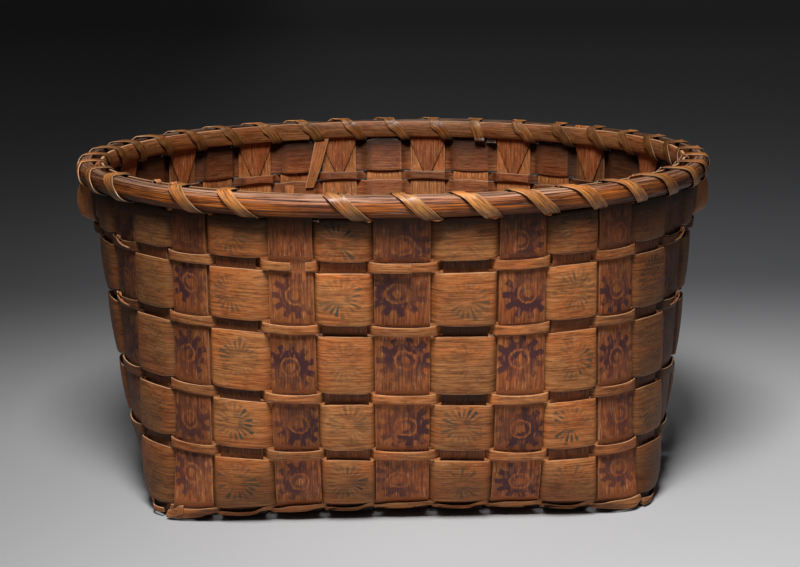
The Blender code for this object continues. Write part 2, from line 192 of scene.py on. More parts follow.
def wall_share(height):
    """How far the wall has opened from its square foot to its round mouth."""
    return np.clip((height - SQUARE_HEIGHT) / (RIM_BOTTOM - SQUARE_HEIGHT), 0, 1)


def pitch_at(height):
    """Distance between neighbouring uprights."""
    return FOOT_PITCH + (RIM_PITCH - FOOT_PITCH) * wall_share(height)


def outline(u, height):
    """Rounded square through the uprights, whose corners grow until they make a circle at the rim."""
    pitch = pitch_at(height)
    corner = FOOT_CORNER + (SPLINTS_EACH_WAY - FOOT_CORNER) * np.sqrt(wall_share(height))
    straight = (SPLINTS_EACH_WAY - corner) / 2
    radius = 2 * corner * pitch / math.pi
    side = np.floor((u + SPLINTS_EACH_WAY / 2) / SPLINTS_EACH_WAY)
    along = u - side * SPLINTS_EACH_WAY
    turn = np.maximum(0, np.abs(along) - straight) / corner * math.pi / 2
    x = np.copysign(np.minimum(np.abs(along), straight) * pitch + radius * np.sin(turn), along)
    y = -straight * pitch - radius * np.cos(turn)
    angle = side * math.pi / 2
    return stacked(x * np.cos(angle) - y * np.sin(angle), x * np.sin(angle) + y * np.cos(angle))


def wall_place(u, height):
    """Points of the wall's middle surface."""
    u, height = np.broadcast_arrays(u, height)
    flat = outline(u, height)
    along = (u + SPLINTS_EACH_WAY / 2) % SPLINTS_EACH_WAY / SPLINTS_EACH_WAY
    arch = 4 * along * (1 - along)
    lift = FOOT_LIFT * arch * np.maximum(0, 1 - height / LIFT_FADE) ** 2
    tilt = -ROW_TILT * np.sin(2 * math.pi * u / UPRIGHTS)
    held = smooth((height - FOOT_HEIGHT) / 0.03) * smooth((WEAVE_TOP - height) / 0.09)
    return np.concatenate([flat, (height + lift + tilt * held)[..., None]], -1)


def unit(vectors):
    """Vectors of length 1."""
    return vectors / np.linalg.norm(vectors, axis=-1, keepdims=True)


def wall_way(u, height):
    """Level directions out of the wall."""
    step = wall_place(u + 0.1, height) - wall_place(u - 0.1, height)
    return unit(stacked(step[..., 1], -step[..., 0], 0.0))


def on_wall(u, height, out):
    """Points at a distance out from the wall's surface."""
    u, height, out = np.broadcast_arrays(u, height, out)
    return wall_place(u, height) + wall_way(u, height) * out[..., None]


def upright_span(k, height):
    """Middle and half width of an upright, counted in uprights."""
    k = from_front(k)
    if k in FRONT_UPRIGHTS:
        foot, top = FRONT_UPRIGHTS[k]
    else:
        shifts = draws(100 + k % UPRIGHTS, -1, 1, 4)
        foot = (shifts[0] * UPRIGHT_STRAY, 1 + shifts[1] * UPRIGHT_WIDTH_STRAY)
        top = (shifts[2] * UPRIGHT_STRAY, 1 + shifts[3] * UPRIGHT_WIDTH_STRAY)
    share = np.clip(height / RIM_BOTTOM, 0, 1)
    shift, width = (low * (1 - share) + high * share for low, high in zip(foot, top))
    pitch = pitch_at(height)
    return shift / pitch, SPLINT_WIDTH * width / 2 / pitch


def upright_edges(k, height):
    """Left and right edge of an upright, as upright indexes."""
    shift, half = upright_span(k, height)
    return k + shift - half, k + shift + half


def pass_edges(k, height):
    """Both edges of an upright, between the nearest edges of its two neighbours."""
    return upright_edges(k - 1, height)[1], *upright_edges(k, height), upright_edges(k + 1, height)[0]


def rows():
    """Bottom, top and outside parity of every row, from the foot up."""
    upper = TWINING_BOTTOM + TWINING_HEIGHT + CLEARANCE
    made = [(TWINING_BOTTOM, TWINING_BOTTOM + TWINING_HEIGHT, 1), (upper, upper + TWINING_HEIGHT, 0)]
    bottom = WIDE_BOTTOM
    for height in WIDE_HEIGHTS:
        top = bottom + height
        made.append((bottom, top, 1))
        made.append((top + CLEARANCE, top + CLEARANCE + NARROW_HEIGHT, 0))
        bottom = top + NARROW_HEIGHT + 2 * CLEARANCE
    return made[:-1]


ROWS = rows()
WIDE_ROWS = ROWS[2::2]
NARROW_ROWS = ROWS[3::2]


# Meshes


SHARP_ANGLE = math.radians(50)
END_EDGE = 0.62


def placed(name, data):
    """An object of the scene with that data."""
    made = bpy.data.objects.new(name, data)
    bpy.context.scene.collection.objects.link(made)
    return made


def build(name, node, verts, faces, grain, marks, material):
    """An object that stands for a CAD node, with its grain coordinates and point attributes."""
    mesh = bpy.data.meshes.new(name)
    mesh.from_pydata(verts.tolist(), [], [face for group in faces for face in group.tolist()])
    loops = np.empty(len(mesh.loops), dtype=np.int32)
    mesh.loops.foreach_get("vertex_index", loops)
    layer = mesh.uv_layers.new(name="grain")
    layer.data.foreach_set("uv", grain[loops].astype(np.float32).ravel())
    for title, values in marks.items():
        kind, field = ("FLOAT", "value") if values.ndim == 1 else ("FLOAT_VECTOR", "vector")
        mark = mesh.attributes.new(title, kind, "POINT")
        mark.data.foreach_set(field, values.astype(np.float32).ravel())
    mesh.shade_smooth()
    mesh.set_sharp_from_angle(angle=SHARP_ANGLE)
    mesh.materials.append(material)
    piece = placed(name, mesh)
    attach(piece, "root")
    if node:
        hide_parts(node)
    return piece


def ring_faces(count, sides, outward):
    """Quads between closed rings of points, turned over where they would face in."""
    j = np.arange(sides)
    first = np.arange(count - 1)[:, None] * sides + j
    second = np.arange(count - 1)[:, None] * sides + (j + 1) % sides
    quads = stacked(first, second, second + sides, first + sides).reshape(-1, 4)
    return quads if outward else quads[:, ::-1]


def ribbon(name, node, middle, face, thickness, grain, material, cell, stamp=None):
    """A thin closed strip. The grids run along and across it, and face holds its outer directions.

    The point attribute back is 1 on the side away from those directions.
    """
    count, width = middle.shape[:2]
    thick = np.full(width, thickness / 2)
    thick[[0, -1]] *= EDGE_THINNING
    offset = face * thick[None, :, None]
    back = np.arange(width)[::-1]
    order = np.concatenate([np.arange(width), back])
    verts = np.concatenate([middle + offset, (middle - offset)[:, back]], 1).reshape(-1, 3)
    across = middle[:-1, 1:] - middle[:-1, :-1]
    along = middle[1:, :-1] - middle[:-1, :-1]
    outward = np.sum(np.cross(across, along) * face[:-1, :-1]) > 0
    sides = 2 * width
    faces = [ring_faces(count, sides, outward)]
    j = np.arange(width - 1)
    cap = stacked(j, j + 1, sides - 2 - j, sides - 1 - j)
    last = cap + (count - 1) * sides
    faces += [cap[:, ::-1] if outward else cap, last if outward else last[:, ::-1]]
    edge = np.zeros((count, sides))
    edge[:, [0, width - 1, width, sides - 1]] = 1
    edge[[0, -1]] = np.maximum(edge[[0, -1]], END_EDGE)
    marks = {
        "edge": edge.ravel(),
        "back": np.tile(np.repeat([0.0, 1.0], width), count),
        "cell": np.broadcast_to(cell, middle.shape)[:, order].reshape(-1, 3),
    }
    if stamp is not None:
        inked = stamp[:, order].copy()
        inked[:, width:, 2] = 0
        marks["stamp"] = inked.reshape(-1, 3)
    return build(name, node, verts, faces, grain[:, order].reshape(-1, 2), marks, material)


def tube(name, node, rings, grain, material, marks):
    """A closed solid through rings of points."""
    count, sides = rings.shape[:2]
    centre = rings.mean(1)
    across = rings[0, 1] - rings[0, 0]
    along = rings[1, 0] - rings[0, 0]
    outward = np.dot(np.cross(across, along), rings[0, 0] - centre[0]) > 0
    caps = [np.arange(sides)[None], np.arange(sides)[None] + (count - 1) * sides]
    faces = [ring_faces(count, sides, outward)]
    faces += [caps[0][:, ::-1] if outward else caps[0], caps[1] if outward else caps[1][:, ::-1]]
    return build(name, node, rings.reshape(-1, 3), faces, grain.reshape(-1, 2), marks, material)


def strip_grain(points, first, across):
    """Grain coordinates of a strip along a path, whose length is counted on from a first value."""
    steps = np.linalg.norm(np.diff(points, axis=0), axis=-1)
    along = np.concatenate([[0], np.cumsum(steps)]) + first
    return stacked(along[:, None], across)


# Materials


def put(socket, value):
    """Links a socket to a shade, or sets its value."""
    if isinstance(value, Shade):
        socket.id_data.links.new(value.socket, socket)
    elif socket.type == "RGBA":
        socket.default_value = (*value, 1)
    else:
        socket.default_value = value


def add_node(tree, kind, inputs=(), output=0, **settings):
    """One output of a new shader node, with its inputs given in order or by name."""
    node = tree.nodes.new(kind)
    for name, value in settings.items():
        setattr(node, name, value)
    pairs = inputs.items() if isinstance(inputs, dict) else enumerate(inputs)
    for key, value in pairs:
        put(node.inputs[key], value)
    return Shade(node.outputs[output])


class Shade:
    """A value or colour in a shader. Sums, differences and products of values are new nodes."""

    def __init__(self, socket):
        self.socket = socket
        self.tree = socket.id_data

    def math(self, operation, *values):
        """Result of a math node."""
        return add_node(self.tree, "ShaderNodeMath", (self, *values), operation=operation)

    def __add__(self, other):
        return self.math("ADD", other)

    def __sub__(self, other):
        return self.math("SUBTRACT", other)

    def __mul__(self, other):
        return self.math("MULTIPLY", other)

    def __abs__(self):
        return self.math("ABSOLUTE")

    def remap(self, low, high, to_low=0.0, to_high=1.0):
        """Value moved smoothly from one range to another, and kept in it."""
        values = (self, low, high, to_low, to_high)
        return add_node(self.tree, "ShaderNodeMapRange", values, interpolation_type="SMOOTHSTEP")

    def near(self, centre, reach):
        """1 where the value is at the centre, 0 beyond reach of it."""
        return abs(self - centre).remap(0.0, reach, 1.0, 0.0)

    def chance(self):
        """A random number for each value."""
        return add_node(self.tree, "ShaderNodeTexWhiteNoise", {"W": self}, "Value", noise_dimensions="1D")

    def parts(self):
        """The three parts of a vector."""
        first = add_node(self.tree, "ShaderNodeSeparateXYZ", (self,))
        return [Shade(socket) for socket in first.socket.node.outputs]

    def gray(self):
        """A grey of that brightness."""
        return add_node(self.tree, "ShaderNodeCombineXYZ", (self, self, self))

    def mix(self, first, second, kind="MIX"):
        """Colour mix by this share."""
        return mix_colors(self.tree, self, first, second, kind)

    def times(self, other):
        """Product of two colours."""
        return mix_colors(self.tree, 1.0, self, other, "MULTIPLY")


def mix_colors(tree, share, first, second, kind):
    """Colour mix."""
    values = {"Factor": share, "A": first, "B": second}
    return add_node(tree, "ShaderNodeMix", values, "Result", data_type="RGBA", blend_type=kind)


def attribute(tree, name, output="Fac"):
    """A point attribute of the mesh."""
    return add_node(tree, "ShaderNodeAttribute", output=output, attribute_name=name)


def streaks(grain, seed, along, across, detail=4.0, rough=0.6):
    """Noise drawn out along the grain, with so many turns a metre each way."""
    tree = grain[0].tree
    place = add_node(tree, "ShaderNodeCombineXYZ", (grain[0] * along, grain[1] * across, seed))
    values = {"Scale": 1.0, "Detail": detail, "Roughness": rough, "Vector": place}
    return add_node(tree, "ShaderNodeTexNoise", values)


def new_material(name):
    """A material with its node tree."""
    made = bpy.data.materials.new(name)
    made.use_nodes = True
    return made, made.node_tree


def finish_material(made, color, rough, shine=0.5, height=None, strength=0.0, depth=0.0):
    """Sets the looks of a material's surface, and its bump where a height is given."""
    values = {"Base Color": color, "Roughness": rough, "Specular IOR Level": shine}
    if height:
        bump = {"Strength": strength, "Distance": depth, "Height": height}
        values["Normal"] = add_node(made.node_tree, "ShaderNodeBump", bump)
    for key, value in values.items():
        put(made.node_tree.nodes["Principled BSDF"].inputs[key], value)
    return made


SUN_STROKES = 19
GEAR_TEETH = 11


def stroke_side(angle, reach, count):
    """Turn counted in strokes, and distance from the middle line of the nearest stroke."""
    turn = angle * (count / (2 * math.pi))
    return turn, abs(turn.math("FRACT") - 0.5) * reach * (2 * math.pi / count)


def sunburst(reach, angle, seed):
    """Ring of drop-shaped strokes round a bare middle, each with its own weight of ink."""
    turn, side = stroke_side(angle, reach, SUN_STROKES)
    number = turn.math("FLOOR") + seed * 31.0
    weight = number.chance().remap(0.0, 0.6, 0.25, 1.0)
    length = (number + 0.5).chance().remap(0.0, 1.0, 0.80, 1.0)
    half_width = (reach - 0.22) * 0.13 + 0.015
    stroke = (half_width - side).remap(-0.01, 0.035) * (length - reach).remap(-0.02, 0.06)
    stroke = stroke * reach.remap(0.18, 0.30)
    fading = reach.remap(0.24, 0.62, 0.55, 1.0)
    blot = reach.near(0.32, 0.22).remap(0.0, 1.0, 0.0, 0.55)
    return (stroke * weight * fading).math("MAXIMUM", blot * weight)


def gear(reach, angle):
    """Broad ring with blunt teeth, round a thin bare ring and a small inked one."""
    side = stroke_side(angle, reach, GEAR_TEETH)[1]
    tooth = side.remap(0.10, 0.17, 1.0, 0.0) * reach.remap(1.08, 1.0) * reach.remap(0.5, 0.6)
    band = reach.remap(0.78, 0.70) * reach.remap(0.42, 0.47)
    hub = reach.remap(0.37, 0.33) * reach.remap(0.15, 0.21) * 0.85
    return tooth.math("MAXIMUM", band).math("MAXIMUM", hub)


def stamped(color, ink, toothed, smear, blotch, seed):
    """Worn ink of a block-printed figure over the wood."""
    x, y, strength = attribute(color.tree, "stamp", "Vector").parts()
    reach = (x * x + y * y).math("SQRT") + (blotch - 0.5) * 0.25 + (smear - 0.5) * 0.22
    angle = y.math("ARCTAN2", x)
    figure = gear(reach, angle) if toothed else sunburst(reach, angle, seed)
    side = (angle + seed * 40.0).math("COSINE").remap(-1.0, 0.3, 0.45, 1.0)
    worn = (smear * 0.5 + blotch * 0.5).remap(0.40, 0.52, 0.35, 1.0)
    return (figure * strength * worn * side).mix(color, ink)


RUDDY_TINT = (1.1, 0.84, 0.66)
BLOTCH_TINT = (0.45, 0.4, 0.38)
DASH_BROWN = (0.06, 0.022, 0.009)
CRACK_BROWN = (0.04, 0.014, 0.006)


def strip_material(
    name, dark, light, inside, pale, ink=None, toothed=False, rough=(0.45, 0.65), wear=0.75, shine=0.25
):
    """Split wood with streaked grain, splits, stains, dirt and painted shade, pale cut edges and, where it
    has one, a stamp.

    Inside multiplies the colour on the strip's other side.
    """
    made, tree = new_material(name)
    grain = add_node(tree, "ShaderNodeUVMap", uv_map="grain").parts()
    own, tone, shade = attribute(tree, "cell", "Vector").parts()
    seed = own * 17.0
    fine = streaks(grain, seed, 60.0, 1400.0, 2.0)
    broad = streaks(grain, seed + 5.0, 20.0, 440.0, 3.0)
    blotch = streaks(grain, seed + 9.0, 90.0, 130.0)
    patch = streaks(grain, seed + 13.0, 30.0, 40.0, 2.0)
    dashes = streaks(grain, seed + 21.0, 170.0, 1000.0, 2.0)
    cracks = streaks(grain, seed + 3.0, 11.0, 400.0, 2.0)
    mixed = fine * 0.70 + broad * 0.30
    color = mixed.remap(0.34, 0.64).mix(dark, light)
    color = patch.remap(0.4, 0.62, 0.0, 0.8).mix(color, RUDDY_TINT, "MULTIPLY")
    color = blotch.remap(0.5, 0.72, 0.0, 0.55).mix(color, BLOTCH_TINT, "MULTIPLY")
    color = dashes.remap(0.57, 0.67, 0.0, 0.48).mix(color, DASH_BROWN)
    color = dashes.remap(0.40, 0.30, 0.0, 0.35).mix(color, pale)
    line = cracks.near(0.5, 0.014)
    color = (line * 0.5).mix(color, CRACK_BROWN)
    if toothed:
        splinter = cracks.near(0.527, 0.012) * patch.remap(0.48, 0.55)
        color = (splinter * 0.55).mix(color, pale)
    if ink:
        smear = streaks(grain, seed + 29.0, 190.0, 520.0, 3.0)
        color = stamped(color, ink, toothed, smear, blotch, own)
    color = attribute(tree, "back").mix(color, inside, "MULTIPLY")
    # The cell's tone and shade darken the colour: tone is random, with dirt and painted shade at the sides,
    # and shade is painted shade
    color = color.times((tone * shade).gray())
    edge = attribute(tree, "edge").remap(0.35, 0.95)
    rubbed = edge * broad.remap(0.3, 0.6, 0.3 * wear, wear) * shade
    color = rubbed.mix(color, pale)
    height = mixed + blotch * 0.5 - line * 0.6
    return finish_material(made, color, mixed.remap(0.3, 0.7, *rough), shine, height, 0.4, 0.0003)


BARK_DARK = (0.075, 0.017, 0.003)
BARK_LIGHT = (0.45, 0.120, 0.013)
BARK_STAIN = (0.4, 0.33, 0.3)
BARK_SILVER = (0.33, 0.205, 0.140)
BARK_CRACK = (0.03, 0.010, 0.004)


def bark_material():
    """Dark half-round withe, silvery where hands have worn its top, partly a painted highlight there, and
    with painted shade on its underside.
    """
    made, tree = new_material("hoop_bark")
    grain = add_node(tree, "ShaderNodeUVMap", uv_map="grain").parts()
    top = attribute(tree, "top")
    fine = streaks(grain, 1.0, 16.0, 800.0, 5.0, 0.7)
    broad = streaks(grain, 4.0, 14.0, 190.0, 3.0)
    patch = streaks(grain, 11.0, 25.0, 60.0, 3.0)
    cracks = streaks(grain, 8.0, 7.0, 300.0, 2.0)
    color = fine.remap(0.40, 0.61).mix(BARK_DARK, BARK_LIGHT)
    color = patch.remap(0.45, 0.62, 0.0, 0.7).mix(color, BARK_STAIN, "MULTIPLY")
    # The silver on the top is partly worn bark and partly a painted highlight
    worn = top + (broad - 0.5) * 1.6
    silver = worn.remap(0.40, 0.95) * fine.remap(0.43, 0.57, 0.05, 0.95)
    color = silver.mix(color, BARK_SILVER)
    line = cracks.near(0.5, 0.016)
    color = (line * 0.85).mix(color, BARK_CRACK)
    # Painted shade on the underside, and the tone darker towards the sides
    under = top.remap(-1.0, -0.4, 0.5, 1.0) * attribute(tree, "tone")
    rough = fine.remap(0.3, 0.7, 0.34, 0.55)
    return finish_material(made, color.times(under.gray()), rough, 0.3, fine + broad - line, 0.9, 0.0006)


PALE = (0.52, 0.31, 0.17)
WIDE_INK = (0.062, 0.054, 0.032)
UPRIGHT_INK = (0.058, 0.018, 0.018)
WEAVER_INSIDE = (0.68, 0.60, 0.68)
WIDE_WOOD = strip_material(
    "wide_weaver_wood", dark=(0.220, 0.070, 0.018), light=(0.48, 0.190, 0.058), inside=WEAVER_INSIDE,
    pale=PALE, ink=WIDE_INK,
)
NARROW_WOOD = strip_material(
    "narrow_weaver_wood", dark=(0.195, 0.062, 0.018), light=(0.46, 0.180, 0.056), inside=WEAVER_INSIDE,
    pale=PALE,
)
UPRIGHT_WOOD = strip_material(
    "upright_wood", dark=(0.143, 0.038, 0.011), light=(0.330, 0.106, 0.030), inside=(1.5, 1.75, 1.75),
    pale=PALE, ink=UPRIGHT_INK, toothed=True, wear=0.3,
)
LASHING_WOOD = strip_material(
    "lashing_wood", dark=(0.110, 0.035, 0.008), light=(0.47, 0.198, 0.050), inside=(1, 1, 1),
    pale=(0.50, 0.31, 0.18), rough=(0.34, 0.50), wear=0.4, shine=0.4,
)
BARK = bark_material()


# Strips round the wall


# Shares of the darkening towards the sides, partly dirt and partly painted shade where the wall turns from
# the light
LEFT_DIRT_AND_SHADE = 0.5
RIGHT_DIRT_AND_SHADE = 0.66
UPRIGHT_DIRT_AND_SHADE = 0.85
LASHING_DIRT_AND_SHADE = 0.3


def front_tone_and_side_shade(k, held=1.0):
    """Tone round the wall: lighter at the front, darker at the sides by a held share of dirt and painted
    shade.
    """
    turn = from_front(k)
    away = np.abs(turn)
    front_brightening = 1.16 - 0.30 * smooth((np.abs(turn - 0.5) - 1.5) / 3)
    dirt_and_shade = held * np.where(turn > 0, RIGHT_DIRT_AND_SHADE, LEFT_DIRT_AND_SHADE)
    return front_brightening * (1 - dirt_and_shade * smooth((away - 3.6) / 2.2) * smooth((15 - away) / 2))


def weaver_path(outside, height, start, last, tuck, pushed, overlap):
    """Stations of a weaver: upright coordinate, way out, place across each pass, and its upright."""
    parts = []
    for k in range(start, last + 1):
        low, left, right, high = pass_edges(k, height)
        over = k % 2 == outside
        if over:
            place = spread(PASS_STATIONS)
        else:
            low, high = left, right
            place = np.linspace(-1, 1, INSIDE_STATIONS)
        if k < last:
            place = place[:-1]
        u = low + (high - low) * (place + 1) / 2
        inside = -tuck - (LAYER_STEP if overlap and k <= start + overlap else 0)
        out = np.full_like(u, inside)
        if over:
            rise = smooth(RISE_PACE * (u - low) / (left - low))
            rise = rise * smooth(RISE_PACE * (high - u) / (high - right))
            top = STEP_OUT + (LAYER_STEP if overlap and k >= start + UPRIGHTS else 0)
            top += SPLINT_THICKNESS + CLEARANCE if k % UPRIGHTS in pushed else 0
            out += (top - inside) * rise
        parts.append((u, out, place, np.full_like(u, k)))
    return [np.concatenate(arrays) for arrays in zip(*parts)]


def weaver(
    name, row, outside, start, material, seed, loose=False, across=7, overlap=OVERLAP, extent=None,
    tuck=STEP_OUT, pushed=(), layer=0.0, pinch=(0.0, 0.0), fullness=2.0, sag=0.0, swell=0.0, camber=0.0,
    strand=None, stamps=None, spans=((-math.inf, math.inf),), tone=1.0, tone_power=1.0,
):
    """A strip round the wall. Swell, sag and pinch shape the passes that lie outside an upright.

    Spans are the stretches of it that are left, a layer lies over another strip, and a loose
    strip stands for no CAD node.
    """
    low, high = row[:2]
    height = (low + high) / 2
    last = start + (UPRIGHTS + overlap if extent is None else extent)
    u, out, place, k = weaver_path(outside, height, start, last, tuck, pushed, overlap)
    index = k.astype(int) % UPRIGHTS
    passes = (k % 2 == outside).astype(float)
    arch = 1 - np.abs(place) ** fullness
    drop = sag * arch * np.where(passes > 0, -1, 0.3)
    ends = np.where(passes > 0, smooth((np.abs(place) - 0.5) / 0.35), smooth((np.abs(place) - 0.4) / 0.6))
    bottom = low + drop + pinch[0] * ends
    top = high + drop - pinch[1] * ends
    if strand:
        bottom, top = strand_edges(u, outside, strand, start, last)
    stray = EDGE_STRAY / 2
    top = top + wander(seed, 50, stray)(u / UPRIGHTS) - stray
    bottom = bottom + wander(seed + 1, 50, stray)(u / UPRIGHTS) + stray
    side = spread(across)
    heights = (top + bottom)[:, None] / 2 + (top - bottom)[:, None] / 2 * side
    each = 1 + 0.3 * draws(seed + 7, -1, 1, UPRIGHTS)[index]
    bulge = np.where(passes > 0, swell * each, -INSIDE_SWELL) * arch**1.3
    curve = passes[:, None] * camber * arch[:, None] * (1 - side**2) - camber * 0.2 * side**2
    uu = np.broadcast_to(u[:, None], heights.shape)
    middle = on_wall(uu, heights, (out + layer + bulge)[:, None] + curve)
    face = wall_way(uu, heights)
    grain = stacked(uu * pitch_at(height) + seed, heights)
    # Painted shade at the ends of each outside pass, where it dives behind an upright, painted shadow under
    # the rim, and darker towards the foot
    shade = (1 - 0.35 * passes * np.abs(place) ** 10)[:, None] * rim_painted_shadow(heights)
    shade = shade * (1 - 0.25 * smooth((0.042 - heights) / 0.022))
    seeds = seed * 0.37 + 0.61 * (k % UPRIGHTS)
    # Random tone, times the lighter front and the darker sides, which are partly dirt and partly painted
    # shade
    tones = draws(seed, 0.82, 1.12, UPRIGHTS)[index] * tone * front_tone_and_side_shade(k) ** tone_power
    cell = stacked(seeds[:, None], tones[:, None], shade)
    stamp = None if stamps is None else stamp_marks(stamps, uu, heights, k, height, passes)
    for i, (first, end) in enumerate(spans):
        kept = (u >= first) & (u <= end)
        ribbon(
            f"{name}_strip_{i + 1}", None if loose else name, middle[kept], face[kept],
            WEAVER_THICKNESS, grain[kept], material, cell[kept], None if stamp is None else stamp[kept],
        )


def rim_painted_shadow(height, reach=0.5):
    """Painted shadow in the corner under the rim hoops."""
    broad = 1 - reach * smooth((height - WEAVE_TOP + 0.022) / 0.019)
    return broad * (1 - 0.8 * smooth((height - WEAVE_TOP + 0.008) / 0.010))


STAMP_RADIUS = 0.0135
GEAR_RADIUS = 0.0136
# Ink of the front squares, a line for each wide row from the foot up
STAMPED_WIDE = (-5, -3, -1, 1, 3, 5)
WIDE_STAMPS = (
    (0.3, 0.9, 1.0, 0.7, 0.6, 0.4),
    (0.6, 1.0, 0.7, 1.0, 1.0, 0.8),
    (0.4, 0.8, 0.5, 0.35, 1.0, 0.5),
    (0.35, 0.7, 1.0, 0.7, 0.8, 0.7),
    (0.3, 0.7, 1.0, 0.5, 0.8, 0.4),
)
# Ink of the front uprights, from the foot up
UPRIGHT_STAMPS = {
    -4: (0.8, 0.8, 1.0, 1.0, 0.5),
    -2: (0.9, 1.1, 1.1, 0.85, 0.35),
    0: (0.8, 1.0, 1.1, 1.1, 0.8),
    2: (1.2, 1.2, 1.2, 1.0, 0.9),
    4: (0.85, 0.75, 1.1, 1.0, 0.6),
}
OTHER_STAMPS = (0.8,) * len(WIDE_HEIGHTS)


def stamp_marks(strengths, uu, heights, k, middle, passes):
    """Place of each point in its square's stamp, counted in stamp radii, and the ink's strength."""
    index = k.astype(int)
    turn = from_front(index)
    shifts = draws(int(middle * 1e6), -1, 1, (UPRIGHTS, 3))
    centre = np.array([upright_span(int(i), middle)[0] for i in turn]) + index
    across = (uu - centre[:, None]) * pitch_at(middle) / STAMP_RADIUS + 0.2 * shifts[turn, 0, None]
    up = (heights - middle) / STAMP_RADIUS + 0.15 * shifts[turn, 1, None]
    strength = np.array([strengths.get(int(i), 0.45 + 0.35 * shifts[i, 2]) for i in turn]) * passes
    return stacked(across, up, strength[:, None])


STRAND_INSIDE = (0.0026, 0.0070)
STRAND_GOING_IN = (0.0042, 0.0084)
STRAND_GOING_OUT = (0.0010, 0.0056)


def strand_edges(u, outside, front, start, last):
    """Bottom and top of a twined strand, which passes over its partner in every gap."""
    places = []
    edges = []
    for k in range(start, last + 1):
        if k % 2 != outside:
            continue
        low, left, right, high = pass_edges(k, front[1])
        places += [low, (low + left) / 2]
        edges += [STRAND_INSIDE, STRAND_GOING_OUT]
        for share in np.linspace(0.04, 0.96, 9):
            places.append(left + (right - left) * share)
            settled = smooth(min(share, 1 - share) / 0.35)
            leaving = STRAND_GOING_OUT if share < 0.5 else STRAND_GOING_IN
            edges.append(tuple(a + (b - a) * settled for a, b in zip(leaving, front)))
        places += [(right + high) / 2, high]
        edges += [STRAND_GOING_IN, STRAND_INSIDE]
    edges = np.array(edges)
    return np.interp(u, places, edges[:, 0]), np.interp(u, places, edges[:, 1])


# Bottom and top of the twined strands where they pass outside
LOWER_STRAND = (0.0003, 0.0042)
UPPER_STRAND = (0.0009, 0.0076)
LOOSE_STRAND = (0.0040, 0.0098)
# Where strips are torn, broken or end, counted in uprights, and the wide row whose end is seen
TORN_TWINING = (UPRIGHTS - 5.6, UPRIGHTS - 4.45)
LOOSE_TWINING = (-4.43, -4.07)
BROKEN_NARROW = (UPRIGHTS - 1.71, 2 * UPRIGHTS - 1.86)
LAP_END = 0.163
ENDED_WIDE = 3
ENDED_START = 35
WIDE_END = 73.57


def make_weavers():
    """Twined pair at the foot, wide and narrow rows, and the binder under the hoops."""
    twining = {"swell": 0.0016, "across": 5, "tone": 1.25}
    kept = [(-math.inf, TORN_TWINING[0]), (TORN_TWINING[1], math.inf)]
    weaver("twining_lower", ROWS[0], 1, 12, NARROW_WOOD, 11, strand=LOWER_STRAND, spans=kept, **twining)
    weaver("twining_upper", ROWS[1], 0, 19, NARROW_WOOD, 13, strand=UPPER_STRAND, spans=kept, **twining)
    weaver(
        "twining_end", ROWS[1], 0, -4, NARROW_WOOD, 15, strand=LOOSE_STRAND, spans=[LOOSE_TWINING],
        loose=True, extent=0, overlap=0, layer=LAYER_STEP, **twining,
    )
    for i, (low, high, outside) in enumerate(WIDE_ROWS):
        pinch = [WIDE_PINCH, WIDE_PINCH]
        if i == 0:
            low = WIDE_LOWEST
        if i == len(WIDE_ROWS) - 1:
            high = WIDE_HIGHEST
            pinch[1] = WIDE_HIGHEST - WEAVE_TOP - 0.0012
        start = 14 + 4 * (i % 3)
        end = math.inf
        if i == ENDED_WIDE:
            start = ENDED_START
            end = WIDE_END
        weaver(
            f"wide_weaver_{i + 1}", (low, high), outside, start, WIDE_WOOD, 20 + 2 * i, across=13,
            spans=[(-math.inf, end)], swell=WIDE_SWELL, camber=WIDE_CAMBER, sag=WIDE_SAG, fullness=4.0,
            pinch=pinch, stamps=dict(zip(STAMPED_WIDE, WIDE_STAMPS[i])),
        )
    shape = {"swell": NARROW_SWELL, "sag": NARROW_SAG, "pinch": [-NARROW_SPREAD] * 2, "tone_power": 1.4}
    for i, row in enumerate(NARROW_ROWS[:-1]):
        start = 15 + 4 * (i % 2)
        tuck = STEP_OUT + UPRIGHT_RECESS
        weaver(f"narrow_weaver_{i + 1}", row, 0, start, NARROW_WOOD, 40 + 2 * i, tuck=tuck, **shape)
    shape = {"overlap": 0, "tuck": TUCK_STEP, **shape}
    held = {k % UPRIGHTS for k in SIDE_STRIP_UPRIGHTS.values()}
    weaver(
        "narrow_weaver_4", NARROW_ROWS[-1], 0, UPRIGHTS - 2, NARROW_WOOD, 46, pushed=held, extent=UPRIGHTS,
        spans=[BROKEN_NARROW], **shape,
    )
    weaver(
        "narrow_lap", NARROW_ROWS[-1], 0, 0, NARROW_WOOD, 48, extent=0, spans=[(-math.inf, LAP_END)],
        layer=LAYER_STEP, loose=True, **shape,
    )
    weaver("top_binder", (BINDER_BOTTOM, BINDER_TOP), 0, 17, NARROW_WOOD, 60, across=5, overlap=0)


# Splints


def upright_out(k, height):
    """How far an upright stands out: it gives way to the strips that cross outside it."""
    places = []
    values = []
    for i, (low, high, outside) in enumerate(ROWS):
        ease = min(0.003, (high - low) / 3)
        value = -UPRIGHT_SWELL if k % 2 == outside else UPRIGHT_SWELL
        if k % 2 and outside == 0:
            value = -UPRIGHT_RECESS
        if i < 2 or (k % 2 and i >= len(ROWS) - 2):
            value = 0
        places += [low + ease, high - ease]
        values += [value, value]
    places.append(RIM_BOTTOM)
    values.append(0)
    return np.interp(height, places, values)


def dark_slot(height):
    """1 on the stretches of an upright behind the narrow rows, from a height up, and 0 elsewhere."""
    share = 0 * height
    for low, high, outside in NARROW_ROWS:
        share = share + smooth((height - low + 0.002) / 0.002) * smooth((high + 0.002 - height) / 0.002)
    return share * smooth((height - DARK_RECESS_FROM) / 0.01)


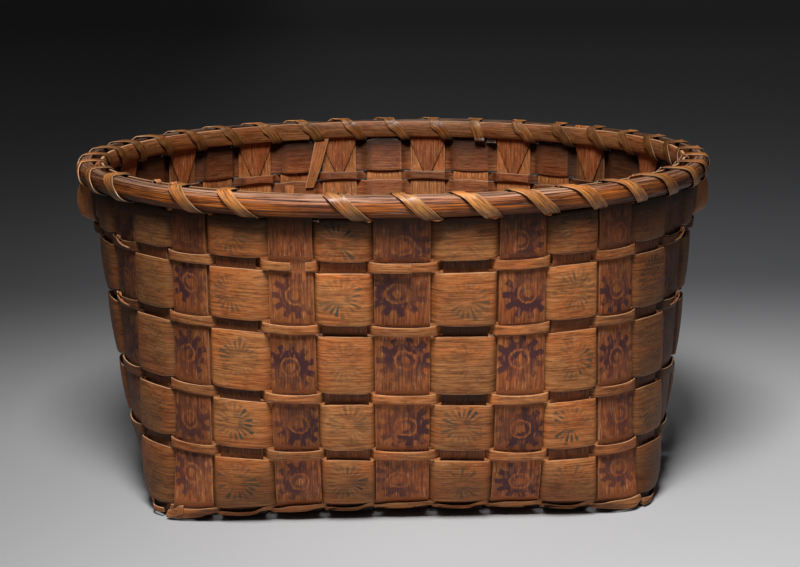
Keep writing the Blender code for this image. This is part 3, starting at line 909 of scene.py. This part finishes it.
def wall_path(k):
    """Heights, ways out, leans and width shares of an upright from its foot to its end."""
    heights = np.linspace(FOOT_HEIGHT, BINDER_BOTTOM, UPRIGHT_STATIONS)
    parts = [(heights, upright_out(k, heights), 0 * heights, 1 + 0 * heights)]
    if k % 2 == 0:
        parts.append(([CUT_TOP], [0], [0], [1]))
        return [np.concatenate(arrays) for arrays in zip(*parts)]
    lean = np.linspace(0, math.pi, FOLD_STATIONS)
    fold = (BINDER_TOP + FOLD_RADIUS * np.sin(lean), FOLD_RADIUS * (np.cos(lean) - 1), lean, 1 + 0 * lean)
    parts.append(fold)
    tip = NARROW_ROWS[-1][0] + 0.001
    down = np.linspace(BINDER_BOTTOM, tip, TONGUE_STATIONS)
    pressed = smooth((down - WEAVE_TOP) / (BINDER_BOTTOM - WEAVE_TOP))
    behind = TONGUE_OUT + (2 * -FOLD_RADIUS - TONGUE_OUT) * pressed
    share = 0.04 + 0.96 * np.clip((down - tip) / (WEAVE_TOP - tip), 0, 1) ** 0.9
    parts.append((down, behind, math.pi + 0 * down, share))
    return [np.concatenate(arrays) for arrays in zip(*parts)]


def upright_grid(k, across, flipped):
    """Middle points, faces, cells, stamps and places across of one upright, foot first."""
    heights, outs, leans, shares = wall_path(k)
    straight = leans == 0
    shift, half = upright_span(k, heights)
    sides = -across if flipped else across
    uu = k + shift[:, None] + half[:, None] * shares[:, None] * sides
    hh = np.broadcast_to(heights[:, None], uu.shape)
    camber = UPRIGHT_CAMBER * (1 - sides**2)
    fade = smooth((heights - FOOT_HEIGHT) / 0.02) * straight
    way = wall_way(uu, hh)
    face = way * np.cos(leans)[:, None, None]
    face[..., 2] += np.sin(leans)[:, None]
    row = np.searchsorted([low for low, high, outside in ROWS], heights)
    # Random tone, times the lighter front and the darker sides, which are partly dirt and partly painted
    # shade
    tones = draws(500 + k % UPRIGHTS, 0.85, 1.12, 20)[row] * front_tone_and_side_shade(k, UPRIGHT_DIRT_AND_SHADE)
    tones = np.where(leans > 0, 0.86, tones)
    recess = np.interp(-outs, [UPRIGHT_SWELL, UPRIGHT_RECESS], [0.0, 1.0]) * straight
    # Painted shadow at the foot where the upright bends under the twining, lighter below about 4.5 cm,
    # painted shadow in the recesses behind the narrow rows (darkest at the listed uprights), and painted
    # shadow under the rim
    shade = (1 - 0.9 * smooth((0.0105 - heights) / 0.005)) * (1 + 0.25 * smooth((0.045 - heights) / 0.02))
    shade = shade * (1 - DARK_RECESSES.get(k, 0) * dark_slot(heights) * straight)
    shade = shade * (1 - RECESS_SHADE * recess) * np.where(leans > 0, 0.94, rim_painted_shadow(heights, 0.2))
    cell = stacked(0.31 * k + 1.7 * row, tones, shade)[:, None] + 0 * uu[..., None]
    low, high = np.array(WIDE_ROWS)[:, :2].T
    number = np.clip(np.searchsorted(low - 0.002, heights), 1, len(WIDE_ROWS)) - 1
    chances = draws(900 + k % UPRIGHTS, -1, 1, (8, 3))[number + 1]
    inked = np.array(UPRIGHT_STAMPS.get(k, OTHER_STAMPS))[number]
    strengths = inked * (1 + 0.05 * chances[:, 0]) * (heights < WEAVE_TOP) * straight
    x = sides * SPLINT_WIDTH / 2 / GEAR_RADIUS + 0.2 * chances[:, 1, None]
    y = (hh - ((low + high) / 2)[number][:, None]) / GEAR_RADIUS + 0.3 * chances[:, 2, None]
    stamp = stacked(x, y, strengths[:, None])
    middle = on_wall(uu, hh, outs[:, None] + camber * fade[:, None])
    return middle, face, cell, stamp, shares[:, None] * across


def base_grid(splint, across, turn):
    """Middle points of a splint across the base, from its first wall to its second."""
    crossed = np.arange(-LAST_SPLINT, LAST_SPLINT + 1)
    places = (crossed[:, None] * FOOT_PITCH + np.array([-1, 1]) * SPLINT_WIDTH / 2).ravel()
    levels = np.repeat(np.where((splint + crossed + turn) % 2 == 0, BASE_HIGH, BASE_LOW), 2)
    along = np.linspace(-SPLINT_END, SPLINT_END, BASE_STATIONS)
    low = np.clip(np.searchsorted(places, along, side="right") - 1, 0, len(places) - 2)
    share = smooth((along - places[low]) / (places[low + 1] - places[low]))
    z = levels[low] * (1 - share) + levels[low + 1] * share
    limit = SPLINT_END - CORNER_TRIM
    x = np.clip(splint * FOOT_PITCH + across * SPLINT_WIDTH / 2, -limit, limit)[None]
    y = along[:, None]
    parts = (-y, x) if turn else (x, y)
    return stacked(*parts, z[:, None] + edge_lift(x, y))


def edge_lift(x, y):
    """Rise of the base's edges, which touch the ground only near its corners."""
    reach = FOOT_LIFT * (1 - FOOT_HEIGHT / LIFT_FADE) ** 2
    rises = []
    for along, away in ((x, y), (y, x)):
        share = np.clip(along / FOOT_PITCH / SPLINTS_EACH_WAY + 0.5, 0, 1)
        rises.append(4 * share * (1 - share) * smooth((np.abs(away) - 0.09) / 0.05))
    return reach * np.maximum(*rises)


BEND_ANGLES = (12, 28, 45, 62, 78)
# Painted shadow on the bends between the base and the foot of the wall
BEND_SHADE = 0.06


def bend_grid(base, wall, way):
    """Middle points and faces of the bend between the base's edge and the foot of the wall."""
    angles = np.radians(BEND_ANGLES)[:, None, None]
    rise = (wall - base)[..., 2:]
    run = wall - base
    run[..., 2] = 0
    length = np.linalg.norm(run, axis=-1, keepdims=True)
    middle = wall - run / length * np.minimum(length, rise) * (1 - np.sin(angles))
    middle[..., 2:] = base[..., 2:] + rise * (1 - np.cos(angles))
    face = way * np.sin(angles)
    face[..., 2:] -= np.cos(angles)
    return middle, face


def make_splint(name, splint, turn):
    """One splint, down one wall, across the base and up the other wall."""
    across = np.array([-1, -0.94, -0.75, -0.5, -0.25, 0, 0.25, 0.5, 0.75, 0.94, 1])
    first = splint + turn * SPLINTS_EACH_WAY
    one = upright_grid(first, across, False)
    two = upright_grid(2 * SPLINTS_EACH_WAY - splint + turn * SPLINTS_EACH_WAY, across, True)
    base = base_grid(splint, across, turn)
    down = np.broadcast_to(np.array([0.0, 0.0, -1.0]), base.shape)
    bends = [bend_grid(base[0], one[0][0], one[1][0]), bend_grid(base[-1], two[0][0], two[1][0])]
    middle = np.concatenate([one[0][::-1], bends[0][0][::-1], base, bends[1][0], two[0]])
    face = np.concatenate([one[1][::-1], bends[0][1][::-1], down, bends[1][1], two[1]])
    bent = len(BEND_ANGLES)
    plain = np.zeros((len(base) + 2 * bent, len(across), 3))
    plain_cell = plain + np.array([0.31 * first, 0.95, 0.85])
    # Painted shadow on the bends at both ends of the base
    plain_cell[:bent, :, 2] = BEND_SHADE
    plain_cell[-bent:, :, 2] = BEND_SHADE
    plain_stamp = plain + np.array([9.0, 9.0, 0.0])
    cell = np.concatenate([one[2][::-1], plain_cell, two[2]])
    stamp = np.concatenate([one[3][::-1], plain_stamp, two[3]])
    wide = np.concatenate([one[4][::-1], plain[..., 0] + across, two[4]]) * SPLINT_WIDTH / 2
    grain = strip_grain(middle[:, 5], 3.1 * (splint + LAST_SPLINT) + 31 * turn, wide)
    ribbon(
        name + "_strip", name, middle, face, SPLINT_THICKNESS, grain, UPRIGHT_WOOD, cell, stamp
    )


def make_splints():
    """The eighteen splints of the base and the wall."""
    for i in range(SPLINTS_EACH_WAY):
        make_splint(f"splint_front_back_{i + 1}", i - LAST_SPLINT, 0)
        make_splint(f"splint_left_right_{i + 1}", i - LAST_SPLINT, 1)


# Rim


OUTER_SCARF = 14.75
INNER_SCARF = 19.75
SCARF_STOPS = 5
SCARF_TIP = 0.22


def hoop_face(degrees, grown=0.0):
    """Out and height of the outer hoop's rounded face, 0 degrees at its middle."""
    angle = np.radians(degrees)
    out = HOOP_INNER_FACE + OUTER_HOOP_DEPTH * np.sqrt(np.maximum(0, np.cos(angle))) + grown * np.cos(angle)
    return out, RIM_MIDDLE + (HOOP_HEIGHT / 2 + grown) * np.sin(angle)


def scarfed(out, flat, depth, stop):
    """Ways out of a hoop's section at a stop, thinned where its two ends lie over each other."""
    tip = SCARF_TIP * depth
    under = tip + (depth - 2 * tip - CLEARANCE) * stop / SCARF_STOPS
    over = tip + (depth - 2 * tip - CLEARANCE) * (stop - 2 * UPRIGHTS) / SCARF_STOPS + CLEARANCE
    share = np.clip(under / depth, 0, 1)
    low = np.clip(over, 0, depth)
    if stop < SCARF_STOPS:
        return flat + (out - flat) * share
    if stop > 2 * UPRIGHTS - 1:
        return flat + low + (out - flat) * (1 - low / depth)
    return out


HOOP_FACETS = 5
FACET_SHARE = 0.75
HOOP_SWELL = wander(4, 34, 0.045)
HOOP_KNOTS = wander(5, 130, 0.035)
HOOP_RISE = wander(6, 18, 0.0005)
HOOP_TWIST = wander(7, 12, 9.0)
HOOP_RIDGES = wander(3, 46, 0.03)
HOOP_SIDE_DIRT_AND_SHADE = 0.5
INNER_HOOP_CELL = (4.4, 0.47, 1.0)


def facet(degrees):
    """How far whittled flats cut into the hoop's rounded face."""
    step = 180 / HOOP_FACETS
    off = np.radians((degrees + 90) % step - step / 2)
    return 1 - FACET_SHARE * (1 - math.cos(math.radians(step / 2)) / np.cos(off))


def make_outer_hoop():
    """Half-round withe with whittled flats and bark ridges, its ends scarfed at the back."""
    degrees = np.linspace(-90, 90, 21)
    out, height = hoop_face(degrees)
    stops = np.arange(0, 2 * UPRIGHTS + SCARF_STOPS + 0.01, 0.2)
    places = OUTER_SCARF + stops / 2
    rings = []
    for stop, u in zip(stops, places):
        turn = u / UPRIGHTS
        shape = facet(degrees + HOOP_TWIST(turn)) * (1 + HOOP_SWELL(turn) + HOOP_KNOTS(turn))
        shape = np.minimum(1.0, shape - 0.03 + HOOP_RIDGES(degrees / 360 + 0.02 * HOOP_TWIST(turn * 3)))
        thick = HOOP_INNER_FACE + (out - HOOP_INNER_FACE) * shape
        level = RIM_MIDDLE + (height - RIM_MIDDLE) * (0.5 + 0.5 * shape) + HOOP_RISE(turn)
        level = np.minimum(level, RIM_TOP)
        rings.append(on_wall(u, level, scarfed(thick, HOOP_INNER_FACE, OUTER_HOOP_DEPTH, stop)))
    grain = stacked((stops / 2 * RIM_PITCH)[:, None], np.radians(degrees) * 0.008)
    # Darker towards the sides, partly dirt and partly painted shade
    dirt_and_shade = HOOP_SIDE_DIRT_AND_SHADE * smooth((np.abs(from_front(places)) - 2.5) / 4)
    top, tone = np.broadcast_arrays(np.sin(np.radians(degrees)), (1 - dirt_and_shade)[:, None])
    marks = {"top": top.ravel(), "tone": tone.ravel()}
    tube("outer_hoop_withe", "outer_hoop", np.array(rings), grain, BARK, marks)


def make_inner_hoop():
    """Thin strip with a rounded face inside the rim."""
    stops = np.arange(0, 2 * UPRIGHTS + SCARF_STOPS + 0.01, 0.25)
    places = INNER_SCARF + stops / 2
    side = spread(9)
    heights = (RIM_BOTTOM + INNER_HOOP_TOP) / 2 + (INNER_HOOP_TOP - RIM_BOTTOM) / 2 * side
    depth = INNER_HOOP_FACE - INNER_HOOP_BACK
    rounded = INNER_HOOP_FACE - depth * (0.45 + 0.55 * (1 - side**2) ** 0.7)
    profile_out = np.concatenate([rounded, np.full_like(rounded, INNER_HOOP_FACE)])
    profile_height = np.concatenate([heights, heights[::-1]])
    rings = []
    for stop, u in zip(stops, places):
        sunk = INNER_HOOP_FACE + (profile_out - INNER_HOOP_FACE) * (0.93 + HOOP_KNOTS(u / UPRIGHTS + 0.3))
        rings.append(on_wall(u, profile_height, scarfed(sunk, INNER_HOOP_BACK, depth, stop)))
    around = np.concatenate([heights, heights[::-1] + 0.02])
    grain = stacked((places * RIM_PITCH)[:, None], around)
    sides = len(around)
    count = len(rings) * sides
    edge = np.tile(np.isin(np.arange(sides), (sides // 2 - 1, sides // 2)).astype(float), len(rings))
    marks = {"edge": edge, "back": np.zeros(count), "cell": np.broadcast_to(INNER_HOOP_CELL, (count, 3))}
    tube("inner_hoop_strip", "inner_hoop", np.array(rings), grain, NARROW_WOOD, marks)


def rim_slot(k):
    """Middle of the gap between upright k and the next, under the rim."""
    return (upright_edges(k, WEAVE_TOP)[1] + upright_edges(k + 1, WEAVE_TOP)[0]) / 2


def wrap_stations(before, slot):
    """One wrap of the lashing, from the gap before, up inside, over the rim and down outside."""
    top = slot - LASHING_OUTER_RUN
    inside = INNER_HOOP_BACK - LASHING_OFF
    run = top - before
    stations = [
        (before + 0.06 * run, inside + 0.0012, RIM_BOTTOM + 0.0003),
        (before + 0.40 * run, inside + 0.0001, RIM_MIDDLE),
        (before + 0.80 * run, inside + 0.0007, INNER_HOOP_TOP - 0.0018),
        (before + 0.95 * run, inside + 0.0028, INNER_HOOP_TOP + LASHING_OFF + 0.0003),
        (top, HOOP_INNER_FACE + 0.0020, RIM_TOP + LASHING_OFF),
    ]
    for share, degrees in zip((0.83, 0.64, 0.46, 0.26, 0.12), (57, 24, -8, -40, -68)):
        stations.append((slot - share * LASHING_OUTER_RUN, *hoop_face(degrees, LASHING_OFF)))
    stations.append((slot - 0.02, HOOP_INNER_FACE + 0.0016, RIM_BOTTOM - LASHING_OFF - 0.0003))
    return stations


def spline(points, steps):
    """Smooth curve through points, with equal steps between each pair."""
    points = np.array(points)
    padded = np.concatenate([points[:1], points, points[-1:]])
    share = np.arange(steps)[:, None] / steps
    made = []
    for a, b, c, d in zip(padded, padded[1:], padded[2:], padded[3:]):
        bent = b + share * (c - a) / 2 + share**2 * (a - 2.5 * b + 2 * c - d / 2)
        made.append(bent + share**3 * (1.5 * (b - c) + (d - a) / 2))
    return np.concatenate([*made, points[-1:]])


LASHING_LOOK = 0.0076


def make_lashing(name, start, slots, seed):
    """One lashing strip, with its tails inside the wall."""
    low = WEAVE_TOP + 0.0002
    stations = [
        (start, LASHING_TAIL_OUT, low),
        (start, LASHING_TAIL_OUT, SLOT_MIDDLE - 0.0014),
        (start, INNER_HOOP_BACK - CLEARANCE, SLOT_MIDDLE),
    ]
    before = start
    for slot in slots:
        stations += wrap_stations(before, slot)
        stations.append((slot, INNER_HOOP_FACE, SLOT_MIDDLE))
        before = slot
    stations.append((before, LASHING_TAIL_OUT + LASHING_THICKNESS, SLOT_MIDDLE))
    stations.append((before, LASHING_TAIL_OUT, low))
    path = spline(stations, 6)
    u, out, height = path.T
    points = on_wall(u, height, out)
    flat = unit(np.gradient(path[:, 1:], axis=0))
    away = wall_way(u, height) * -flat[:, 1, None]
    away[:, 2] += flat[:, 0]
    along = unit(np.gradient(points, axis=0))
    across = unit(np.cross(along, away))
    away = np.cross(across, along)
    side = np.array([-1, -0.9, -0.45, 0, 0.45, 0.9, 1])
    turn = np.linspace(0, 1, len(u))
    width = LASHING_LOOK / 2 * (1 + wander(seed, 60, 0.08)(turn))
    middle = points[:, None] + across[:, None] * (width[:, None] * side)[..., None]
    middle += away[:, None] * (0.00025 * (1 - side**2))[None, :, None]
    middle[..., 2] = np.minimum(middle[..., 2], RIM_TOP + LASHING_OFF)
    face = np.broadcast_to(away[:, None], middle.shape)
    grain = strip_grain(points, seed, side * LASHING_LOOK / 2)
    # Painted shade on the wraps just under the rim and on their runs inside it
    shade = 1 - 0.8 * smooth((RIM_BOTTOM + 0.003 - height) / 0.005)
    shade = shade * (1 - 0.5 * smooth((0.002 - out) / 0.006))
    # Darker towards the sides, partly dirt and partly painted shade, with random tone along the strip
    off = np.abs(from_front(u))
    tone = 1 - LASHING_DIRT_AND_SHADE * smooth((off - 3) / 3) * smooth((16 - off) / 3)
    tone = tone * (1 + wander(seed + 1, 60, 0.3)(turn))
    cell = stacked(seed, tone, shade)[:, None]
    ribbon(name + "_strip", name, middle, face, LASHING_THICKNESS, grain, LASHING_WOOD, cell)


def make_lashings():
    """Two lashing strips, with a wrap in every gap but the skipped ones."""
    first = max(SKIPPED_GAPS) + 1
    skipped = {gap % UPRIGHTS for gap in SKIPPED_GAPS}
    slots = [rim_slot(k) for k in range(first, first + UPRIGHTS) if k % UPRIGHTS not in skipped]
    half = len(slots) // 2
    make_lashing("lashing_right", slots[0] - 1, slots[:half], 71)
    make_lashing("lashing_left", slots[half - 1] + 0.25, slots[half:], 77)


FRONT_EDGE_BULGE = 0.15
LOOP_BULGE = SIDE_STRIP_BULGE - 0.0016
LOOP_SHAPE = (
    (0.35, 0.985), (0.68, 0.93), (0.88, 0.74), (0.98, 0.52),
    (1.0, 0.34), (0.93, 0.18), (0.62, 0.06), (0.25, 0.0),
)
LOOP_TONES = {8: 0.7, -8: 1.05}


def make_side_strip(name, k, seed):
    """A twisted loop whose ends are tucked under the outer hoop and the highest narrow weaver."""
    tuck = SPLINT_THICKNESS + CLEARANCE
    low, high = NARROW_ROWS[-1][:2]
    route = [(tuck, BINDER_BOTTOM - CLEARANCE), (tuck, RIM_BOTTOM)]
    for share, rise in LOOP_SHAPE:
        route.append((tuck + (LOOP_BULGE - tuck) * share, high + (RIM_BOTTOM - high) * rise))
    route += [(tuck, high - 0.001), (tuck, low - 0.003)]
    out, height = spline(route, 4).T
    side = np.array([-1, -0.93, -0.6, -0.2, 0.2, 0.6, 0.93, 1])
    front = (1 - side * math.copysign(1, k)) / 2
    uu = k + upright_span(k, height)[0][:, None] + side * SIDE_STRIP_WIDTH / 2 / RIM_PITCH
    hh = np.broadcast_to(height[:, None], uu.shape)
    hh = hh + 0.002 * (front - 0.5) * smooth((out[:, None] - tuck) / 0.01)
    middle = on_wall(uu, hh, tuck + (out[:, None] - tuck) * (1 - (1 - FRONT_EDGE_BULGE) * front))
    face = unit(np.cross(np.gradient(middle, axis=1), -np.gradient(middle, axis=0)))
    grain = strip_grain(middle[:, 3], seed, side * SIDE_STRIP_WIDTH / 2)
    # Painted shade on the loop's front part, which turns in towards the wall
    shade = 1 - 0.85 * smooth((front - 0.72) / 0.25)
    cell = stacked(seed, LOOP_TONES[k], shade)
    ribbon(name + "_loop", name, middle, face, SPLINT_THICKNESS, grain, NARROW_WOOD, cell)


# Loose ends and scraps


SCRAP_THICKNESS = 0.0009
# Name, path, width and taper of each cut end in the rim
RIM_ENDS = (
    ("right", ((2.90, -0.0014, 0.1935), (2.90, -0.0016, 0.197), (2.88, -0.0022, 0.1997)), 0.0125, 0.95),
    ("far_right", ((4.55, -0.0014, 0.1935), (4.56, -0.0014, 0.197), (4.58, -0.0010, 0.1998)), 0.0145, 0.9),
    ("back", ((13.2, -0.0010, 0.1935), (13.2, -0.0012, 0.197), (13.2, -0.0012, 0.1998)), 0.0150, 0.9),
)
# Place round the wall, height and way of turning of each curl
RIM_CURLS = ((-4.86, 0.1985, 1), (-4.42, 0.1982, 1), (-0.9, 0.1978, -1))
WEAVER_CURLS = ((-5.85, 0.1585, 1), (-5.98, 0.1208, 1), (6.12, 0.1580, -1), (6.02, 0.1210, -1))
# Places round the wall of each split fibre's top and foot
SPLIT_FIBRES = ((-5.28, -5.12), (-5.06, -5.04), (-4.95, -5.0))


def scrap(name, material, path, across, width, seed, tone=1.0, taper=(1.0, 1.0, 0.7)):
    """A loose bit of strip along a path, its width lying along across: round the wall, out and up."""
    u, out, height = spline(path, 6).T
    points = on_wall(u, height, out)
    way = wall_way(u, height)
    round_wall = stacked(-way[:, 1], way[:, 0], 0.0)
    wide = unit(round_wall * across[0] + way * across[1] + np.array([0.0, 0.0, 1.0]) * across[2])
    face = unit(np.cross(wide, unit(np.gradient(points, axis=0))))
    side = np.array([-1, -0.8, -0.3, 0.3, 0.8, 1])
    share = np.interp(np.linspace(0, 1, len(u)), (0, 0.5, 1), taper)
    middle = points[:, None] + wide[:, None] * (width / 2 * share[:, None] * side)[..., None]
    normal = np.broadcast_to(face[:, None], middle.shape)
    grain = strip_grain(points, seed, side * width / 2)
    ribbon(name, None, middle, normal, SCRAP_THICKNESS, grain, material, stacked(seed, tone, 1.0))


def make_scraps():
    """Loose, torn and curled ends that the photograph shows."""
    level = (0, 0, 1)
    upright = (1, 0, 0)
    scrap(
        "slanted_strip", NARROW_WOOD,
        [
            (19.43, -0.0046, 0.1862), (19.52, -0.0049, 0.175),
            (19.62, -0.0052, 0.163), (19.74, -0.0040, 0.150),
        ],
        upright, 0.0088, 91, tone=0.8, taper=(1.15, 1.0, 0.7),
    )
    scrap(
        "pale_tip", NARROW_WOOD,
        [(20.22, -0.0042, 0.1525), (20.22, -0.0046, 0.146), (20.24, -0.0034, 0.139)],
        upright, 0.0065, 92, tone=1.15, taper=(1.0, 1.0, 0.5),
    )
    for i, (side, path, width, end) in enumerate(RIM_ENDS):
        scrap(f"rim_end_{side}", UPRIGHT_WOOD, path, upright, width, 93 + i, taper=(1, 1, end))
    for i, (u, height, turn) in enumerate(RIM_CURLS):
        curl = [(u, -0.0012, 0.1940), (u, -0.0012, height - 0.001)]
        for angle in np.radians((20, 90, 160, 230, 300)):
            around = u + 0.05 * turn * (1 - math.cos(angle))
            curl.append((around, -0.0012, height + 0.0015 * math.sin(angle)))
        name = f"rim_curl_{i + 1}"
        scrap(name, NARROW_WOOD, curl, (0, 1, 0), 0.0042, 96 + i, 0.85, (1, 1, 0.5))
    for i, (u, height, turn) in enumerate(WEAVER_CURLS):
        curl = [(u + 0.25 * turn, 0.0034, height - 0.002), (u, 0.0040, height - 0.001)]
        for angle in np.radians((-60, 0, 60, 120, 190)):
            around = u - turn * (0.09 + 0.05 * math.cos(angle))
            curl.append((around, 0.0042, height + 0.0025 + 0.0016 * math.sin(angle)))
        name = f"weaver_curl_{i + 1}"
        scrap(name, NARROW_WOOD, curl, (0, 1, 0.2), 0.0022, 101 + i, 0.9, (0.6, 1, 0.5))
    for i, (top, foot) in enumerate(SPLIT_FIBRES):
        path = [(top, 0.0010, 0.0125), (0.5 * (top + foot), 0.0016, 0.008), (foot, 0.0012, 0.0026)]
        name = f"split_fibre_{i + 1}"
        scrap(name, UPRIGHT_WOOD, path, upright, 0.0016, 111 + i, taper=(0.8, 1, 0.6))
    scrap(
        "broken_end", NARROW_WOOD,
        [(-5.12, 0.0016, 0.0022), (-4.85, 0.0030, 0.0030), (-4.55, 0.0022, 0.0042)],
        level, 0.0036, 108, tone=0.85, taper=(0.4, 1.0, 0.7),
    )


# Stage


# Floor colours, graded as painted light and shade: pale in front, darker behind and to the left, lighter
# again far behind
FLOOR_PALE = (0.355, 0.355, 0.36)
FLOOR_MID = (0.085, 0.086, 0.09)
FLOOR_FAR = (0.20, 0.20, 0.207)
FLOOR_FADE = (-0.02, 0.62)
FLOOR_RISE = (1.0, 4.0)
FLOOR_SIDE = (-0.45, 0.05)
SIDE_TONE = 0.42
FLOOR_FRONT = -6.0
FLOOR_BACK = 5.0
FLOOR_REACH = 9.0
SWEEP_RADIUS = 2.0
BACKDROP_TOP = 8.0


def floor_material():
    """Floor with painted light and shade: pale in front of the basket, darker behind it and towards one
    side.
    """
    made, tree = new_material("floor_painted_falloff")
    x, y = add_node(tree, "ShaderNodeNewGeometry", output="Position").parts()[:2]
    color = y.remap(*FLOOR_FADE).mix(FLOOR_PALE, FLOOR_MID)
    color = y.remap(*FLOOR_RISE).mix(color, FLOOR_FAR)
    side = x.remap(*FLOOR_SIDE, SIDE_TONE, 1.0)
    return finish_material(made, color.times(side.gray()), 0.85)


def make_floor():
    """Floor that sweeps up into a backdrop far behind the basket."""
    profile = [(FLOOR_FRONT, 0.0), (FLOOR_BACK, 0.0)]
    for angle in np.radians(range(10, 91, 10)):
        profile.append((FLOOR_BACK + SWEEP_RADIUS * math.sin(angle), SWEEP_RADIUS * (1 - math.cos(angle))))
    profile.append((FLOOR_BACK + SWEEP_RADIUS, BACKDROP_TOP))
    verts = [(x, y, z) for y, z in profile for x in (-FLOOR_REACH, FLOOR_REACH)]
    faces = [(2 * i, 2 * i + 1, 2 * i + 3, 2 * i + 2) for i in range(len(profile) - 1)]
    mesh = bpy.data.meshes.new("studio_floor")
    mesh.from_pydata(verts, [], faces)
    mesh.shade_smooth()
    mesh.materials.append(floor_material())
    floor = placed("studio_floor", mesh)


# Name, place, target, size and power of each lamp
LAMPS = (
    ("key", (-0.10, -0.66, 1.18), (0.0, -0.1, 0.1), 0.42, 27.5),
    ("overhead", (0.0, 0.35, 1.3), (0.0, 0.0, 0.1), 0.7, 3),
)


def make_lamp(name, place, target, size, power):
    """Square soft lamp that faces a point."""
    data = bpy.data.lights.new(name, "AREA")
    data.shape = "SQUARE"
    data.size = size
    data.energy = power
    lamp = placed(name, data)
    lamp.location = place
    lamp.rotation_euler = (Vector(target) - Vector(place)).to_track_quat("-Z", "Y").to_euler()


WORLD_COLOR = (0.8, 0.8, 0.82)
WORLD_LIGHT = 0.06
WORLD_SEEN = 0.012


def make_world():
    """Even pale surroundings, which the camera sees as dark as the far end of the floor."""
    world = bpy.data.worlds.new("studio")
    world.use_nodes = True
    seen = add_node(world.node_tree, "ShaderNodeLightPath", output="Is Camera Ray")
    inputs = world.node_tree.nodes["Background"].inputs
    put(inputs["Color"], WORLD_COLOR)
    put(inputs["Strength"], seen.remap(0.0, 1.0, WORLD_LIGHT, WORLD_SEEN))
    bpy.context.scene.world = world


CAMERA_PLACE = (-0.04469, -1.21271, 0.35098)
CAMERA_YAW = 0.040
CAMERA_PITCH = 0.195
CAMERA_ROLL = -0.008
CAMERA_LENS = 84.38


def make_camera():
    """Camera at the photograph's viewpoint."""
    flat = math.cos(CAMERA_PITCH)
    ahead = Vector((math.sin(CAMERA_YAW) * flat, math.cos(CAMERA_YAW) * flat, -math.sin(CAMERA_PITCH)))
    level = Vector((math.cos(CAMERA_YAW), -math.sin(CAMERA_YAW), 0))
    up = level.cross(ahead)
    right = level * math.cos(CAMERA_ROLL) + up * math.sin(CAMERA_ROLL)
    above = up * math.cos(CAMERA_ROLL) - level * math.sin(CAMERA_ROLL)
    turn = Matrix((right, above, -ahead)).transposed().to_4x4()
    data = bpy.data.cameras.new("camera")
    data.lens = CAMERA_LENS
    data.sensor_width = 36
    camera = placed("camera", data)
    camera.matrix_world = Matrix.Translation(CAMERA_PLACE) @ turn
    bpy.context.scene.camera = camera


def main():
    """Makes every piece, the stage, the lamps and the camera."""
    make_camera()
    make_splints()
    make_weavers()
    make_outer_hoop()
    make_inner_hoop()
    make_lashings()
    for i, (name, k) in enumerate(SIDE_STRIP_UPRIGHTS.items()):
        make_side_strip(name, k, 81 + i)
    make_scraps()
    make_floor()
    for lamp in LAMPS:
        make_lamp(*lamp)
    make_world()
    bpy.context.scene.view_settings.view_transform = "Standard"


main()
